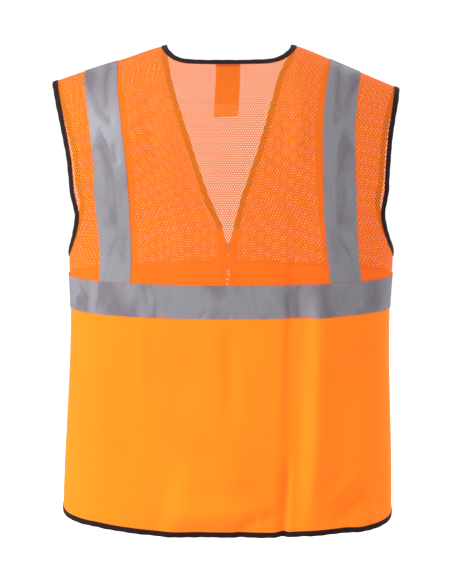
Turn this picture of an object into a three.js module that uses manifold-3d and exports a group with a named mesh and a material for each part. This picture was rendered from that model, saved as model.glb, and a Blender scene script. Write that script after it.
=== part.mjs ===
// High-visibility vest: a sleeveless zip-front safety vest, filled out as if it were worn.
// Millimetres, +Z up. The origin is the middle of the neck opening, level with the tops of the
// shoulder seams. The wearer faces +Y, so the back of the vest faces -Y and the wearer's left is -X.
import * as THREE from 'three';
import { mergeVertices } from 'three/addons/utils/BufferGeometryUtils.js';
import Module from 'manifold-3d';

// ---- Driving dimensions ------------------------------------------------------------------------
// Cloth and trims
const clothThickness = 1.0;
const reflectiveTapeWidth = 50.8;
const reflectiveTapeThickness = 0.6;
const bindingWidth = 7.5;
const bindingThickness = 2.2;
const layerGap = 0.3;
const seamGap = 0.4;

// Body of the vest: half widths, depths in front of and behind the side seams, heights
const underarmHalf = 248.5;
const waistHalf = 245.5;
const hemHalf = 257;
const shoulderFlare = 43;
const flareCurve = 1.5;
const backDepth = 120;
const frontDepth = 110;
const shoulderRound = 163;
const shoulderDrop = 60;
const shoulderTipHalf = 256.5;
const underarmHeight = -322;
const waistHeight = -410;
const waistSeamHeight = -356;
const tapeAboveSeam = 7;
const sideHemHeight = -705;
const backTailDrop = 28;
const frontTailDrop = 6;

// Neck and armholes, measured to the cut edge of the cloth, which the binding closes
const neckHalf = 101.5;
const backNeckDrop = 23.5;
const neckSquareness = 6;
const armholeAngle = 61.5;
const armholeRound = 76;
const armholeCurve = 1.5;
const neckEdgeStart = 25;
const vNeckEndHeight = -298;
const vNeckEndHalf = 15;
const vNeckCurve = 1.25;

// Centre lines of the reflective brace tapes, as they hang: at the shoulder, half way down, at the waist
const leftBraceX = [191, 175, 175];
const rightBraceX = [178, 163, 173];

// Zip
const zipEdgeHalf = 6.5;
const zipTapeInner = 1.3;
const zipTapeWidth = 13;
const zipTapeThickness = 0.6;
const zipTapeSpread = 5.7;
const zipTapeTop = -298;
const zipTop = -324;
const zipPlaneInset = 1.4;
const toothPitch = 4;
const toothHeight = 1.5;
const toothReach = 1.4;
const toothCordWidth = 1.2;
const toothThickness = 2.4;
const stopHeight = 3.5;
const sliderWidth = 10.4;
const sliderHeight = 14;
const sliderPlate = 1.1;
const sliderClearance = 0.3;
const sliderPostWidth = 1.8;
const sliderPostHeight = 3.5;
const bailWidth = 3.2;
const bailHeight = 5;
const bailReach = 3.4;
const bailWall = 0.9;
const bailLift = 1;
const pullTabWidth = 8.4;
const pullTabLength = 32;
const pullTabThickness = 1.1;
const pullTabGrip = 20;
const boxHeight = 9;
const boxFloor = 2.2;
const pinHeight = 12;

// Care label at the back of the neck
const labelWidth = 36;
const labelLength = 62;
const secondLabelWidth = 30;
const secondLabelLength = 73;
const labelThickness = 0.5;
const labelGap = 1.2;
const labelTopDrop = 29;

// ---- Finishes ----------------------------------------------------------------------------------
const finish = (color, roughness, metalness = 0) => (
  new THREE.MeshStandardMaterial({ color, roughness, metalness })
);
const meshCloth = finish(0xf57a2c, 0.85);
const solidCloth = finish(0xff8f2e, 0.8);
const reflective = finish(0x9a98a2, 0.45, 0.1);
const binding = finish(0x231820, 0.8);
const zipCloth = finish(0xe8642a, 0.85);
const zipPlastic = finish(0xd9541f, 0.45);
const zipMetal = finish(0x8f9094, 0.35, 0.8);
const labelCloth = finish(0xf4f1ea, 0.7);

// ---- Shape of the worn vest --------------------------------------------------------------------
const BACK = -1;
const FRONT = 1;
const LEFT = -1;
const RIGHT = 1;
const bodyFullness = 0.8;
const neckSoftness = 15;
const quarterTurn = Math.PI / 2;
const passes = 30; // enough to settle a height that depends on itself
const depthOf = (side) => (side === BACK ? backDepth : frontDepth);
const { lerp, smoothstep, clamp, degToRad } = THREE.MathUtils;

// Height of the shoulder seam above a point x across the vest.
function shoulderLine(x) {
  const along = (Math.abs(x) - neckHalf) / (shoulderTipHalf - neckHalf);
  const soft = neckSoftness / (shoulderTipHalf - neckHalf);
  return -shoulderDrop * 0.5 * (along + Math.hypot(along, soft));
}

// Half the width of the vest at height z, if the armholes were filled in.
function halfWidth(z) {
  if (z > underarmHeight) {
    const rise = (z - underarmHeight) / (-shoulderDrop - underarmHeight);
    return underarmHalf + shoulderFlare * rise ** flareCurve;
  }
  if (z > waistHeight) {
    return lerp(waistHalf, underarmHalf, smoothstep(z, waistHeight, underarmHeight));
  }
  return lerp(hemHalf, waistHalf, smoothstep(z, sideHemHeight - backTailDrop, waistHeight));
}

// How far round the body the cut edge of the armhole lies at height z: a right angle is the side seam.
function armholeTurn(z) {
  const rise = clamp((z - underarmHeight) / armholeRound, 0, 1);
  const round = (1 - (1 - rise) ** armholeCurve) ** (1 / armholeCurve);
  return quarterTurn - degToRad(90 - armholeAngle) * round;
}

// The point at angle theta round the body and a drop below the shoulder line.
function pointBelow(side, theta, drop) {
  let z = -drop;
  for (let pass = 0; pass < passes; pass += 1) {
    z = shoulderLine(halfWidth(z) * Math.sin(theta)) - drop;
  }
  const over = drop < shoulderRound ? Math.sqrt(1 - (1 - drop / shoulderRound) ** 2) : 1;
  const y = depthOf(side) * Math.max(0, Math.cos(theta)) ** bodyFullness * over;
  return new THREE.Vector3(halfWidth(z) * Math.sin(theta), side * y, z);
}

// A place on the body: its point, kept clear of the seam plane, and its outward normal.
function place(side, theta, z) {
  const x = halfWidth(z) * Math.sin(theta);
  const drop = Math.max(0, shoulderLine(x) - z);
  const p = pointBelow(side, theta, drop);
  const turn = drop < shoulderRound ? Math.acos(1 - drop / shoulderRound) : 0;
  const step = 0.004;
  const dropAt = (angle) => shoulderRound * (1 - Math.cos(Math.max(0, angle)));
  const lower = drop < shoulderRound ? dropAt(turn + step) : drop + 1;
  const upper = drop < shoulderRound ? dropAt(turn - step) : drop - 1;
  const down = pointBelow(side, theta, lower).sub(pointBelow(side, theta, upper));
  const east = Math.min(theta + step, quarterTurn);
  const west = Math.max(theta - step, -quarterTurn);
  const across = pointBelow(side, east, drop).sub(pointBelow(side, west, drop));
  const n = down.cross(across).normalize().multiplyScalar(-side);
  p.y = side * Math.max(seamGap / 2, Math.abs(p.y));
  return { p, n, side };
}

// The place on the body at x across and height z.
function placeAt(side, x, z) {
  return place(side, Math.asin(clamp(x / halfWidth(z), -1, 1)), z);
}

// The place in a row that runs a share of the way from a panel's top edge to its bottom edge.
// angleAt(z) gives the angle round the body, topAt(x) and bottomAt(x) the two edges.
function placeInRow(side, angleAt, topAt, bottomAt, share) {
  let z = lerp(topAt(0), bottomAt(0), share);
  for (let pass = 0; pass < passes; pass += 1) {
    const x = halfWidth(z) * Math.sin(angleAt(z));
    z = lerp(topAt(x), bottomAt(x), share);
  }
  return place(side, angleAt(z), z);
}

// ---- Solids ------------------------------------------------------------------------------------
// A closed skin over rows of places, from one distance above the body's surface to another.
function skin(rows, low, high) {
  const columns = rows[0].length;
  const vertices = [];
  for (const lift of [low, high]) {
    for (const row of rows) {
      for (const { p, n, side } of row) {
        const v = p.clone().addScaledVector(n, lift);
        if (side) v.y = side * Math.max(seamGap / 2, side * v.y);
        vertices.push(v.x, v.y, v.z);
      }
    }
  }
  const at = (layer, j, i) => (layer * rows.length + j) * columns + i;
  const faces = [];
  const quad = (a, b, c, d) => faces.push(a, b, c, a, c, d);
  for (let j = 0; j + 1 < rows.length; j += 1) {
    for (let i = 0; i + 1 < columns; i += 1) {
      quad(at(1, j, i), at(1, j, i + 1), at(1, j + 1, i + 1), at(1, j + 1, i));
      quad(at(0, j, i), at(0, j + 1, i), at(0, j + 1, i + 1), at(0, j, i + 1));
    }
    quad(at(0, j, 0), at(1, j, 0), at(1, j + 1, 0), at(0, j + 1, 0));
    const end = columns - 1;
    quad(at(0, j + 1, end), at(1, j + 1, end), at(1, j, end), at(0, j, end));
  }
  for (let i = 0; i + 1 < columns; i += 1) {
    const end = rows.length - 1;
    quad(at(0, 0, i + 1), at(1, 0, i + 1), at(1, 0, i), at(0, 0, i));
    quad(at(0, end, i), at(1, end, i), at(1, end, i + 1), at(0, end, i + 1));
  }
  const geometry = new THREE.BufferGeometry();
  geometry.setAttribute('position', new THREE.Float32BufferAttribute(vertices, 3));
  geometry.setIndex(faces);
  return facingOut(geometry);
}

// The same closed surface with its faces turned outwards.
function facingOut(geometry) {
  const { array } = geometry.index;
  const corners = [0, 1, 2].map(() => new THREE.Vector3());
  let volume = 0;
  for (let k = 0; k < array.length; k += 3) {
    corners.forEach((corner, c) => corner.fromBufferAttribute(geometry.attributes.position, array[k + c]));
    volume += corners[0].dot(corners[1].clone().cross(corners[2]));
  }
  if (volume < 0) {
    for (let k = 0; k < array.length; k += 3) {
      [array[k], array[k + 1]] = [array[k + 1], array[k]];
    }
  }
  geometry.computeVertexNormals();
  return geometry;
}

// A folded binding: one strip that meets a cut edge and runs along it. hand is the way it lies off.
function bindingAlong(edge, hand) {
  const rows = edge.map(({ p, n, side }, k) => {
    const next = edge[Math.min(k + 1, edge.length - 1)].p;
    const last = edge[Math.max(k - 1, 0)].p;
    const out = n.clone().cross(next.clone().sub(last)).normalize().multiplyScalar(hand);
    const rail = (reach) => ({ p: p.clone().addScaledVector(out, reach), n, side });
    return [rail(layerGap), rail(layerGap + bindingWidth)];
  });
  return skin(rows, -bindingThickness / 2, bindingThickness / 2);
}

const wasm = await Module();
wasm.setup();

function toSolid(geometry) {
  const bare = geometry.clone();
  bare.deleteAttribute('normal');
  bare.deleteAttribute('uv');
  const merged = mergeVertices(bare, 1e-5);
  return new wasm.Manifold(new wasm.Mesh({
    numProp: 3,
    vertProperties: new Float32Array(merged.attributes.position.array),
    triVerts: new Uint32Array(merged.index.array),
  }));
}

function toGeometry(solid) {
  const { vertProperties, triVerts } = solid.getMesh();
  const geometry = new THREE.BufferGeometry();
  geometry.setAttribute('position', new THREE.Float32BufferAttribute(vertProperties, 3));
  geometry.setIndex(Array.from(triVerts));
  geometry.computeVertexNormals();
  return geometry;
}

// A box between two corners, as a geometry.
function block(low, high) {
  const size = high.map((value, k) => value - low[k]);
  const geometry = new THREE.BoxGeometry(...size);
  return geometry.translate(...low.map((value, k) => value + size[k] / 2));
}

const vest = new THREE.Group();

function add(parent, name, geometry, material) {
  const mesh = new THREE.Mesh(geometry, material);
  mesh.name = name;
  parent.add(mesh);
  return mesh;
}

const sideName = (hand) => (hand === LEFT ? 'left' : 'right');
const tapeLow = clothThickness / 2 + layerGap;
const tapeHigh = tapeLow + reflectiveTapeThickness;
const waistTapeTop = waistSeamHeight + tapeAboveSeam;
const waistTapeBottom = waistTapeTop - reflectiveTapeWidth;
const topOfLower = () => waistSeamHeight - seamGap;
const bottomOfUpper = () => waistSeamHeight;

// Drops below the shoulder line at which rows are set, closest where the shoulder turns over.
const shoulderTurns = [0, 12, 24, 36, 48, 60, 75, 90];
const shoulderDrops = shoulderTurns.map((angle) => shoulderRound * (1 - Math.cos(degToRad(angle))));
const shareOfDrop = (drop) => drop / -waistSeamHeight;
const armholeEndShare = (() => {
  const seamTop = shoulderLine(underarmHalf);
  return (seamTop - underarmHeight) / (seamTop - waistSeamHeight);
})();
const evenly = (from, to, count) => Array.from({ length: count }, (_, k) => lerp(from, to, (k + 1) / count));
const shareAtHeight = (z, top) => (z - top) / (waistSeamHeight - top);
const underTapeShare = shareAtHeight(waistTapeTop + 2 * layerGap, -shoulderDrop / 4);
const lastShoulderShare = shareOfDrop(shoulderDrops[shoulderDrops.length - 1]);
const upperShares = [
  ...shoulderDrops.map(shareOfDrop),
  ...evenly(lastShoulderShare, armholeEndShare, 7),
  underTapeShare,
  1,
];
const armholeRow = upperShares.indexOf(armholeEndShare);

// ---- Back ----------------------------------------------------------------------------------------
// Columns follow the neckline's corner closely and are even along the shoulder.
const neckCorner = [0.13, 0.4, 0.62, 0.78, 0.9, 0.97, 1];
const shoulderColumns = 5;
function backColumns() {
  const corner = neckCorner.map((share) => share * neckHalf);
  const shoulder = evenly(neckHalf, shoulderTipHalf, shoulderColumns);
  const half = [...corner, ...shoulder].map((x) => (
    Math.asin(x / halfWidth(shoulderLine(x))) / degToRad(armholeAngle)
  ));
  const widest = half[half.length - 1];
  const shares = half.map((share) => share / widest);
  return [...shares.map((share) => -share).reverse(), ...shares];
}

const backShares = backColumns();
const backNeckline = (x) => {
  const along = Math.min(1, Math.abs(x) / neckHalf);
  return shoulderLine(x) - backNeckDrop * (1 - along ** neckSquareness);
};
const backHem = (x) => {
  const across = Math.min(1, Math.abs(x) / hemHalf);
  return sideHemHeight - backTailDrop * (1 - across ** 2) ** (bodyFullness / 2);
};
const frontHem = (x) => {
  const across = Math.min(1, Math.abs(x) / hemHalf);
  return sideHemHeight - frontTailDrop * (1 - across ** 2) ** (bodyFullness / 2);
};

const backUpperRows = upperShares.map((share, row) => backShares.map((across) => {
  const edgeAngle = (z) => (row > armholeRow ? quarterTurn : armholeTurn(z));
  return placeInRow(BACK, (z) => across * edgeAngle(z), backNeckline, bottomOfUpper, share);
}));
add(vest, 'back_mesh_panel', skin(backUpperRows, -clothThickness / 2, clothThickness / 2), meshCloth);

const tapeShare = (waistTapeBottom - waistSeamHeight) / (sideHemHeight - waistSeamHeight);
const lowerShares = [0, tapeShare / 2, tapeShare, ...evenly(tapeShare, 1, 4)];
const backLowerRows = lowerShares.map((share) => backShares.map((across) => (
  placeInRow(BACK, () => across * quarterTurn, topOfLower, backHem, share)
)));
add(vest, 'back_lower_panel', skin(backLowerRows, -clothThickness / 2, clothThickness / 2), solidCloth);

const waistTapeRows = (side, angles) => [0, 1 / 3, 2 / 3, 1].map((share) => (
  angles.map((theta) => place(side, theta, lerp(waistTapeTop, waistTapeBottom, share)))
));
const backAngles = backShares.map((across) => across * quarterTurn);
add(vest, 'back_waist_tape', skin(waistTapeRows(BACK, backAngles), tapeLow, tapeHigh), reflective);

const neckFirst = backShares.length / 2 - neckCorner.length;
const neckEdge = backUpperRows[0].slice(neckFirst, backShares.length - neckFirst);
add(vest, 'back_neck_binding', bindingAlong(neckEdge, 1), binding);
add(vest, 'back_hem_binding', bindingAlong(backLowerRows[backLowerRows.length - 1], -1), binding);

// ---- Brace tapes, one strip over each shoulder, parted at the shoulder seam -------------------------
// Length along the cloth for each millimetre of x, where the braces run down the turning body.
const braceSlope = 1.06;

function braceRows(side, hand) {
  const shares = upperShares.slice(0, -1);
  const [top, middle, bottom] = hand === LEFT ? leftBraceX : rightBraceX;
  return shares.map((share) => [-1 / 2, -1 / 6, 1 / 6, 1 / 2].map((across) => {
    const bow = (middle - (top + bottom) / 2) * 4 * share * (1 - share);
    const centre = lerp(top, bottom, share) + bow;
    const x = centre + (across * reflectiveTapeWidth) / braceSlope;
    const angleAt = (z) => hand * Math.asin(clamp(x / halfWidth(z), 0, 1));
    return placeInRow(side, angleAt, shoulderLine, bottomOfUpper, share);
  }));
}
const braceLow = tapeLow + layerGap;
for (const hand of [LEFT, RIGHT]) {
  for (const side of [BACK, FRONT]) {
    const name = `${sideName(hand)}_${side === BACK ? 'back' : 'front'}_brace_tape`;
    add(vest, name, skin(braceRows(side, hand), braceLow, braceLow + reflectiveTapeThickness), reflective);
  }
}

// ---- Fronts ----------------------------------------------------------------------------------------
// Half the gap between the cut edges of the two fronts at height z: the V, then the zip.
function vNeckHalf(z) {
  if (z > vNeckEndHeight) {
    const fall = clamp((-z - neckEdgeStart) / (-vNeckEndHeight - neckEdgeStart), 0, 1);
    return lerp(neckHalf, vNeckEndHalf, fall ** vNeckCurve);
  }
  return lerp(zipEdgeHalf, vNeckEndHalf, clamp((z - zipTop) / (vNeckEndHeight - zipTop), 0, 1));
}

const vNeckShare = vNeckEndHeight / waistSeamHeight;
const zipTopShare = zipTop / waistSeamHeight;
const frontUpperShares = [
  ...shoulderDrops.map(shareOfDrop),
  ...evenly(lastShoulderShare, vNeckShare, 6),
  armholeEndShare,
  zipTopShare,
  underTapeShare,
  1,
];
const frontArmholeRow = frontUpperShares.indexOf(armholeEndShare);
const vNeckRow = frontUpperShares.indexOf(vNeckShare);
const frontShares = [0, ...evenly(0, 1, 8)];

for (const hand of [LEFT, RIGHT]) {
  const name = sideName(hand);
  const innerAngle = (z) => Math.asin(vNeckHalf(z) / halfWidth(z));
  const zipAngle = (z) => Math.asin(zipEdgeHalf / halfWidth(z));

  const upperRows = frontUpperShares.map((share, row) => frontShares.map((across) => {
    const outerAngle = (z) => (row > frontArmholeRow ? quarterTurn : armholeTurn(z));
    const angleAt = (z) => hand * lerp(innerAngle(z), outerAngle(z), across);
    return placeInRow(FRONT, angleAt, shoulderLine, bottomOfUpper, share);
  }));
  const lowerRows = lowerShares.map((share) => frontShares.map((across) => {
    const angleAt = (z) => hand * lerp(zipAngle(z), quarterTurn, across);
    return placeInRow(FRONT, angleAt, topOfLower, frontHem, share);
  }));
  const half = clothThickness / 2;
  add(vest, `${name}_front_mesh_panel`, skin(upperRows, -half, half), meshCloth);
  add(vest, `${name}_front_lower_panel`, skin(lowerRows, -half, half), solidCloth);

  const tapeAngles = frontShares.map((across) => {
    const inner = Math.asin((zipTapeInner + zipTapeWidth) / waistHalf);
    return hand * lerp(inner, quarterTurn, across);
  });
  const tapeRows = waistTapeRows(FRONT, tapeAngles);
  add(vest, `${name}_front_waist_tape`, skin(tapeRows, tapeLow + layerGap, tapeHigh + layerGap), reflective);

  const neck = upperRows.slice(0, vNeckRow + 1).map((row) => row[0]);
  add(vest, `${name}_front_neck_binding`, bindingAlong(neck, hand), binding);
  const frontArmhole = upperRows.slice(0, frontArmholeRow + 1).map((row) => row[row.length - 1]);
  add(vest, `${name}_front_armhole_binding`, bindingAlong(frontArmhole, -hand), binding);
  add(vest, `${name}_front_hem_binding`, bindingAlong(lowerRows[lowerRows.length - 1], hand), binding);

  const outer = hand === LEFT ? 0 : backShares.length - 1;
  const backArmhole = backUpperRows.slice(0, armholeRow + 1).map((row) => row[outer]);
  add(vest, `${name}_back_armhole_binding`, bindingAlong(backArmhole, hand), binding);
}

// ---- Zip -------------------------------------------------------------------------------------------
const zipY = frontDepth - zipPlaneInset;
const zipBottom = sideHemHeight - frontTailDrop + boxFloor;
const chainBottom = zipBottom + pinHeight + layerGap;
const teeth = Math.floor((zipTop - chainBottom) / toothPitch - 0.5);

// An outline in the plane of the zip, given a thickness about that plane.
function flatPiece(outline, thickness) {
  const shape = new THREE.Shape(outline.map(([x, z]) => new THREE.Vector2(x, z)));
  const geometry = new THREE.ExtrudeGeometry(shape, { depth: thickness, bevelEnabled: false });
  geometry.rotateX(quarterTurn);
  return geometry.translate(0, zipY + thickness / 2, 0);
}

function zipTapeOutline(hand) {
  const inner = zipTapeInner + toothCordWidth;
  const outer = inner + zipTapeWidth - toothCordWidth;
  return [
    [inner, zipBottom],
    [outer, zipBottom],
    [outer, zipTop],
    [outer + zipTapeSpread, zipTapeTop],
    [inner + zipTapeSpread, zipTapeTop],
    [inner, zipTop],
  ].map(([x, z]) => [hand * x, z]);
}

// A row of teeth on its cord. The two rows sit half a pitch apart, so that each fills the other's gaps.
function chainOutline(hand) {
  const spineOuter = zipTapeInner + toothCordWidth - layerGap;
  const spineInner = zipTapeInner - layerGap;
  const start = chainBottom + (hand === LEFT ? 0 : toothPitch / 2);
  const outline = [[spineOuter, start], [spineOuter, zipTop - layerGap], [spineInner, zipTop - layerGap]];
  for (let k = teeth - 1; k >= 0; k -= 1) {
    const z = start + k * toothPitch;
    outline.push([spineInner, z + toothHeight], [spineInner - toothReach, z + toothHeight]);
    outline.push([spineInner - toothReach, z], [spineInner, z]);
  }
  outline.pop();
  outline[outline.length - 1] = [spineInner - toothReach, start];
  return outline.map(([x, z]) => [hand * x, z]);
}

for (const hand of [LEFT, RIGHT]) {
  const name = sideName(hand);
  add(vest, `${name}_zip_tape`, flatPiece(zipTapeOutline(hand), zipTapeThickness), zipCloth);
  add(vest, `${name}_zip_chain`, flatPiece(chainOutline(hand), toothThickness), zipPlastic);
  const stop = [
    [zipTapeInner - layerGap, zipTop],
    [zipTapeInner + toothCordWidth - layerGap, zipTop],
    [zipTapeInner + toothCordWidth - layerGap, zipTop + stopHeight],
    [zipTapeInner - layerGap, zipTop + stopHeight],
  ].map(([x, z]) => [hand * x, z]);
  add(vest, `${name}_top_stop`, flatPiece(stop, toothThickness), zipMetal);
}

// The insertion pin ends the right chain and stands on the floor of the retainer box.
const pinOuter = zipTapeInner + toothCordWidth - layerGap;
const halfThick = toothThickness / 2;
add(vest, 'insertion_pin', block(
  [layerGap, zipY - halfThick, zipBottom + layerGap],
  [pinOuter, zipY + halfThick, zipBottom + pinHeight],
), zipPlastic);
const boxUpright = block(
  [-pinOuter, zipY - halfThick - sliderPlate, zipBottom - boxFloor],
  [0, zipY + halfThick + sliderPlate, zipBottom + boxHeight],
);
const boxBase = block(
  [-pinOuter, zipY - halfThick - sliderPlate, zipBottom - boxFloor],
  [pinOuter, zipY + halfThick + sliderPlate, zipBottom],
);
add(vest, 'retainer_box', toGeometry(toSolid(boxUpright).add(toSolid(boxBase))), zipPlastic);

// Slider: two plates joined by a post above the meshed teeth, and a bail for the pull tab.
const sliderTop = zipTop - layerGap;
const sliderBottom = sliderTop - sliderHeight;
const channelHalf = halfThick + sliderClearance;
const sliderFace = channelHalf + sliderPlate;
const postTop = sliderTop + sliderPostHeight;
const bailMid = (sliderTop + sliderBottom) / 2 + bailLift;
function sliderSolid() {
  const half = sliderWidth / 2;
  const shell = toSolid(block([-half, zipY - sliderFace, sliderBottom], [half, zipY + sliderFace, postTop]));
  const channel = toSolid(block(
    [-half - 1, zipY - channelHalf, sliderBottom - 1],
    [half + 1, zipY + channelHalf, postTop + 1],
  ));
  const post = toSolid(block(
    [-sliderPostWidth / 2, zipY - sliderFace, sliderTop],
    [sliderPostWidth / 2, zipY + sliderFace, postTop],
  ));
  const bail = toSolid(block(
    [-bailWidth / 2, zipY + channelHalf, bailMid - bailHeight / 2],
    [bailWidth / 2, zipY + sliderFace + bailReach, bailMid + bailHeight / 2],
  ));
  const eye = toSolid(block(
    [-bailWidth, zipY + sliderFace, bailMid - bailHeight / 2 + bailWall],
    [bailWidth, zipY + sliderFace + bailReach - bailWall, bailMid + bailHeight / 2 - bailWall],
  ));
  return shell.subtract(channel).add(post).add(bail).subtract(eye);
}
add(vest, 'zip_slider', toGeometry(sliderSolid()), zipMetal);

// Pull tab: a frame round the bail, turning on its top bar, with a grip below.
const tabPivot = new THREE.Vector3(0, zipY + sliderFace + (bailReach - bailWall) / 2, bailMid);
function pullTabSolid() {
  const half = pullTabThickness / 2;
  const frame = toSolid(block(
    [-pullTabWidth / 2, -half, -pullTabLength],
    [pullTabWidth / 2, half, half],
  ));
  const window = toSolid(block(
    [-bailWidth / 2 - 2 * layerGap, -1, -pullTabLength + pullTabGrip],
    [bailWidth / 2 + 2 * layerGap, 1, -half],
  ));
  const solid = frame.subtract(window);
  return solid.translate(tabPivot.x, tabPivot.y, tabPivot.z);
}
add(vest, 'zip_pull_tab', toGeometry(pullTabSolid()), zipMetal);

// ---- Care label, sewn in at the top edge only ---------------------------------------------------------
const labelSeat = placeAt(BACK, 0, -labelTopDrop);
const labelY = labelSeat.p.y + labelGap;
add(vest, 'care_label', block(
  [-labelWidth / 2, labelY + labelThickness + layerGap, -labelTopDrop - labelLength],
  [labelWidth / 2, labelY + 2 * labelThickness + layerGap, -labelTopDrop],
), labelCloth);
add(vest, 'care_label_second_leaf', block(
  [-secondLabelWidth / 2, labelY, -labelTopDrop - secondLabelLength],
  [secondLabelWidth / 2, labelY + labelThickness, -labelTopDrop],
), labelCloth);

export default vest;
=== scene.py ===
"""A high-visibility vest, dressed over its frame: mesh, cloth, tapes, bindings, stitches, zip and label."""
import logging
import math
from collections.abc import Callable, Sequence
from dataclasses import dataclass, field
from enum import Enum
from functools import cached_property

import bmesh
import bpy
import numpy as np
from mathutils import Matrix, Vector
from mathutils.kdtree import KDTree


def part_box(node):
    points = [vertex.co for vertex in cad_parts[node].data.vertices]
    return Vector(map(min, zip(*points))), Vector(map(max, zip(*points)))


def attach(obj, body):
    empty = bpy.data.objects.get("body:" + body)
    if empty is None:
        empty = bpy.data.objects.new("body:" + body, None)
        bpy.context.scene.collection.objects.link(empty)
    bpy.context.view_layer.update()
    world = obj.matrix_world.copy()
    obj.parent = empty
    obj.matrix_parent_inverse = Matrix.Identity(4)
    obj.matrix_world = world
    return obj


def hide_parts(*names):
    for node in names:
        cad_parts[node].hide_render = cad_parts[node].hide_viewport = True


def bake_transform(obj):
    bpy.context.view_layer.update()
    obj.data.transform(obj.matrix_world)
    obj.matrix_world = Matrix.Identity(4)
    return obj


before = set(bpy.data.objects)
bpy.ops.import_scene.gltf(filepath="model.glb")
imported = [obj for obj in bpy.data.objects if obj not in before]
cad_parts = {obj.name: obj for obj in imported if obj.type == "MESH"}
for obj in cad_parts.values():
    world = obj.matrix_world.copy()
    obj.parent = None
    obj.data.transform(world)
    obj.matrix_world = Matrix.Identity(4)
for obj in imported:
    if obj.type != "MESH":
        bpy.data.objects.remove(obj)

logging.basicConfig(level=logging.INFO, format="%(name)s: %(message)s")
LOG = logging.getLogger("vest")
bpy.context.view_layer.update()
MM = 0.001
RIGHT_ANGLE = math.pi / 2
FLAT = "flat"  # the UV map that holds a cloth's coordinates as it was cut, in metres
INSET = "inset"  # how far inside its cut edges a point of the cloth lies, in metres
OUT = "out"  # the direction off the cloth's face at a point of a stitch line
SETTLE = 30  # passes that settle a height which depends on itself
FLOAT, VECTOR = "NodeSocketFloat", "NodeSocketVector"
INTEGER, OBJECT, MATERIAL = "NodeSocketInt", "NodeSocketObject", "NodeSocketMaterial"

Array = np.ndarray
Field = Callable[[Array], Array]
Place = Tone = tuple[float, float, float]
Mesh, Piece = bpy.types.Mesh, bpy.types.Object
Socket, Sockets = bpy.types.NodeSocket, bpy.types.NodeOutputs
Node, NodeTree = bpy.types.Node, bpy.types.NodeTree


class Side(Enum):
    """The half of the vest that a piece belongs to, with the sign of its Y."""

    BACK = -1.0
    FRONT = 1.0


class Hand(Enum):
    """The wearer's left or right, with the sign of its X."""

    LEFT = -1.0
    RIGHT = 1.0

    @property
    def word(self) -> str:
        """The name as it stands in a piece's name."""
        return self.name.lower()


def smooth(share: Array) -> Array:
    """A step from 0 to 1 with a soft start and end."""
    s = np.clip(share, 0, 1)
    return s * s * (3 - 2 * s)


def level(height: float) -> Field:
    """An edge at one height, whatever the x."""
    return lambda x: np.full(np.shape(x), height)


def mix(a: Array | float, b: Array | float, share: Array | float) -> Array:
    """The value a share of the way from a to b."""
    return a + (b - a) * share


# ---- The worn shape ------------------------------------------------------------------------------


@dataclass(frozen=True)
class Fold:
    """One fold in the hanging cloth, a ridge or a valley between two places given as x and z.

    Steep makes one flank steeper, an open end runs on past the second place, and fade is the share of
    the length over which a closed end dies out.
    """

    start: tuple[float, float]
    end: tuple[float, float]
    width: float
    height: float
    steep: float = 0.0
    open_end: bool = False
    fade: float = 0.35

    def lift(self, x: Array, z: Array) -> Array:
        """How far the fold stands out of the cloth.

        Args:
            x: Places across the vest.
            z: Heights.

        Returns:
            The lift at each place; a valley's is negative.
        """
        (x0, z0), (x1, z1) = self.start, self.end
        length = math.hypot(x1 - x0, z1 - z0)
        tx, tz = (x1 - x0) / length, (z1 - z0) / length
        along = ((x - x0) * tx + (z - z0) * tz) / length
        off = (x - x0) * -tz + (z - z0) * tx
        width = self.width * (1 + self.steep * np.tanh(off / self.width))
        ends = smooth(along / self.fade) * (1 if self.open_end else smooth((1 - along) / self.fade))
        return self.height * np.exp(-((off / width) ** 2)) * ends


@dataclass(frozen=True)
class Drape:
    """The folds and slow ripples that every layer of one half of the vest shares."""

    folds: tuple[Fold, ...]
    ripple: float
    phase: float
    # Each ripple: strength, radians to a metre across and up, share of the phase, and a start of its own.
    waves: tuple[tuple[float, ...], ...] = (
        (1.0, 61, 9, 1.0, 0.0), (0.6, 97, -21, 2.1, 0.0), (0.5, 40, 33, 0.0, 0.7),
    )
    plain_top: float = 0.03
    ripple_in: float = 0.1

    def lift(self, x: Array, z: Array) -> Array:
        """How far the cloth stands out of the plain body at x and z."""
        total = sum((fold.lift(x, z) for fold in self.folds), np.zeros(np.shape(x)))
        ripples = sum(
            strength * np.sin(across * x + up * z + share * self.phase + start)
            for strength, across, up, share, start in self.waves
        )
        return total + self.ripple * ripples * smooth((-z - self.plain_top) / self.ripple_in)


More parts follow.
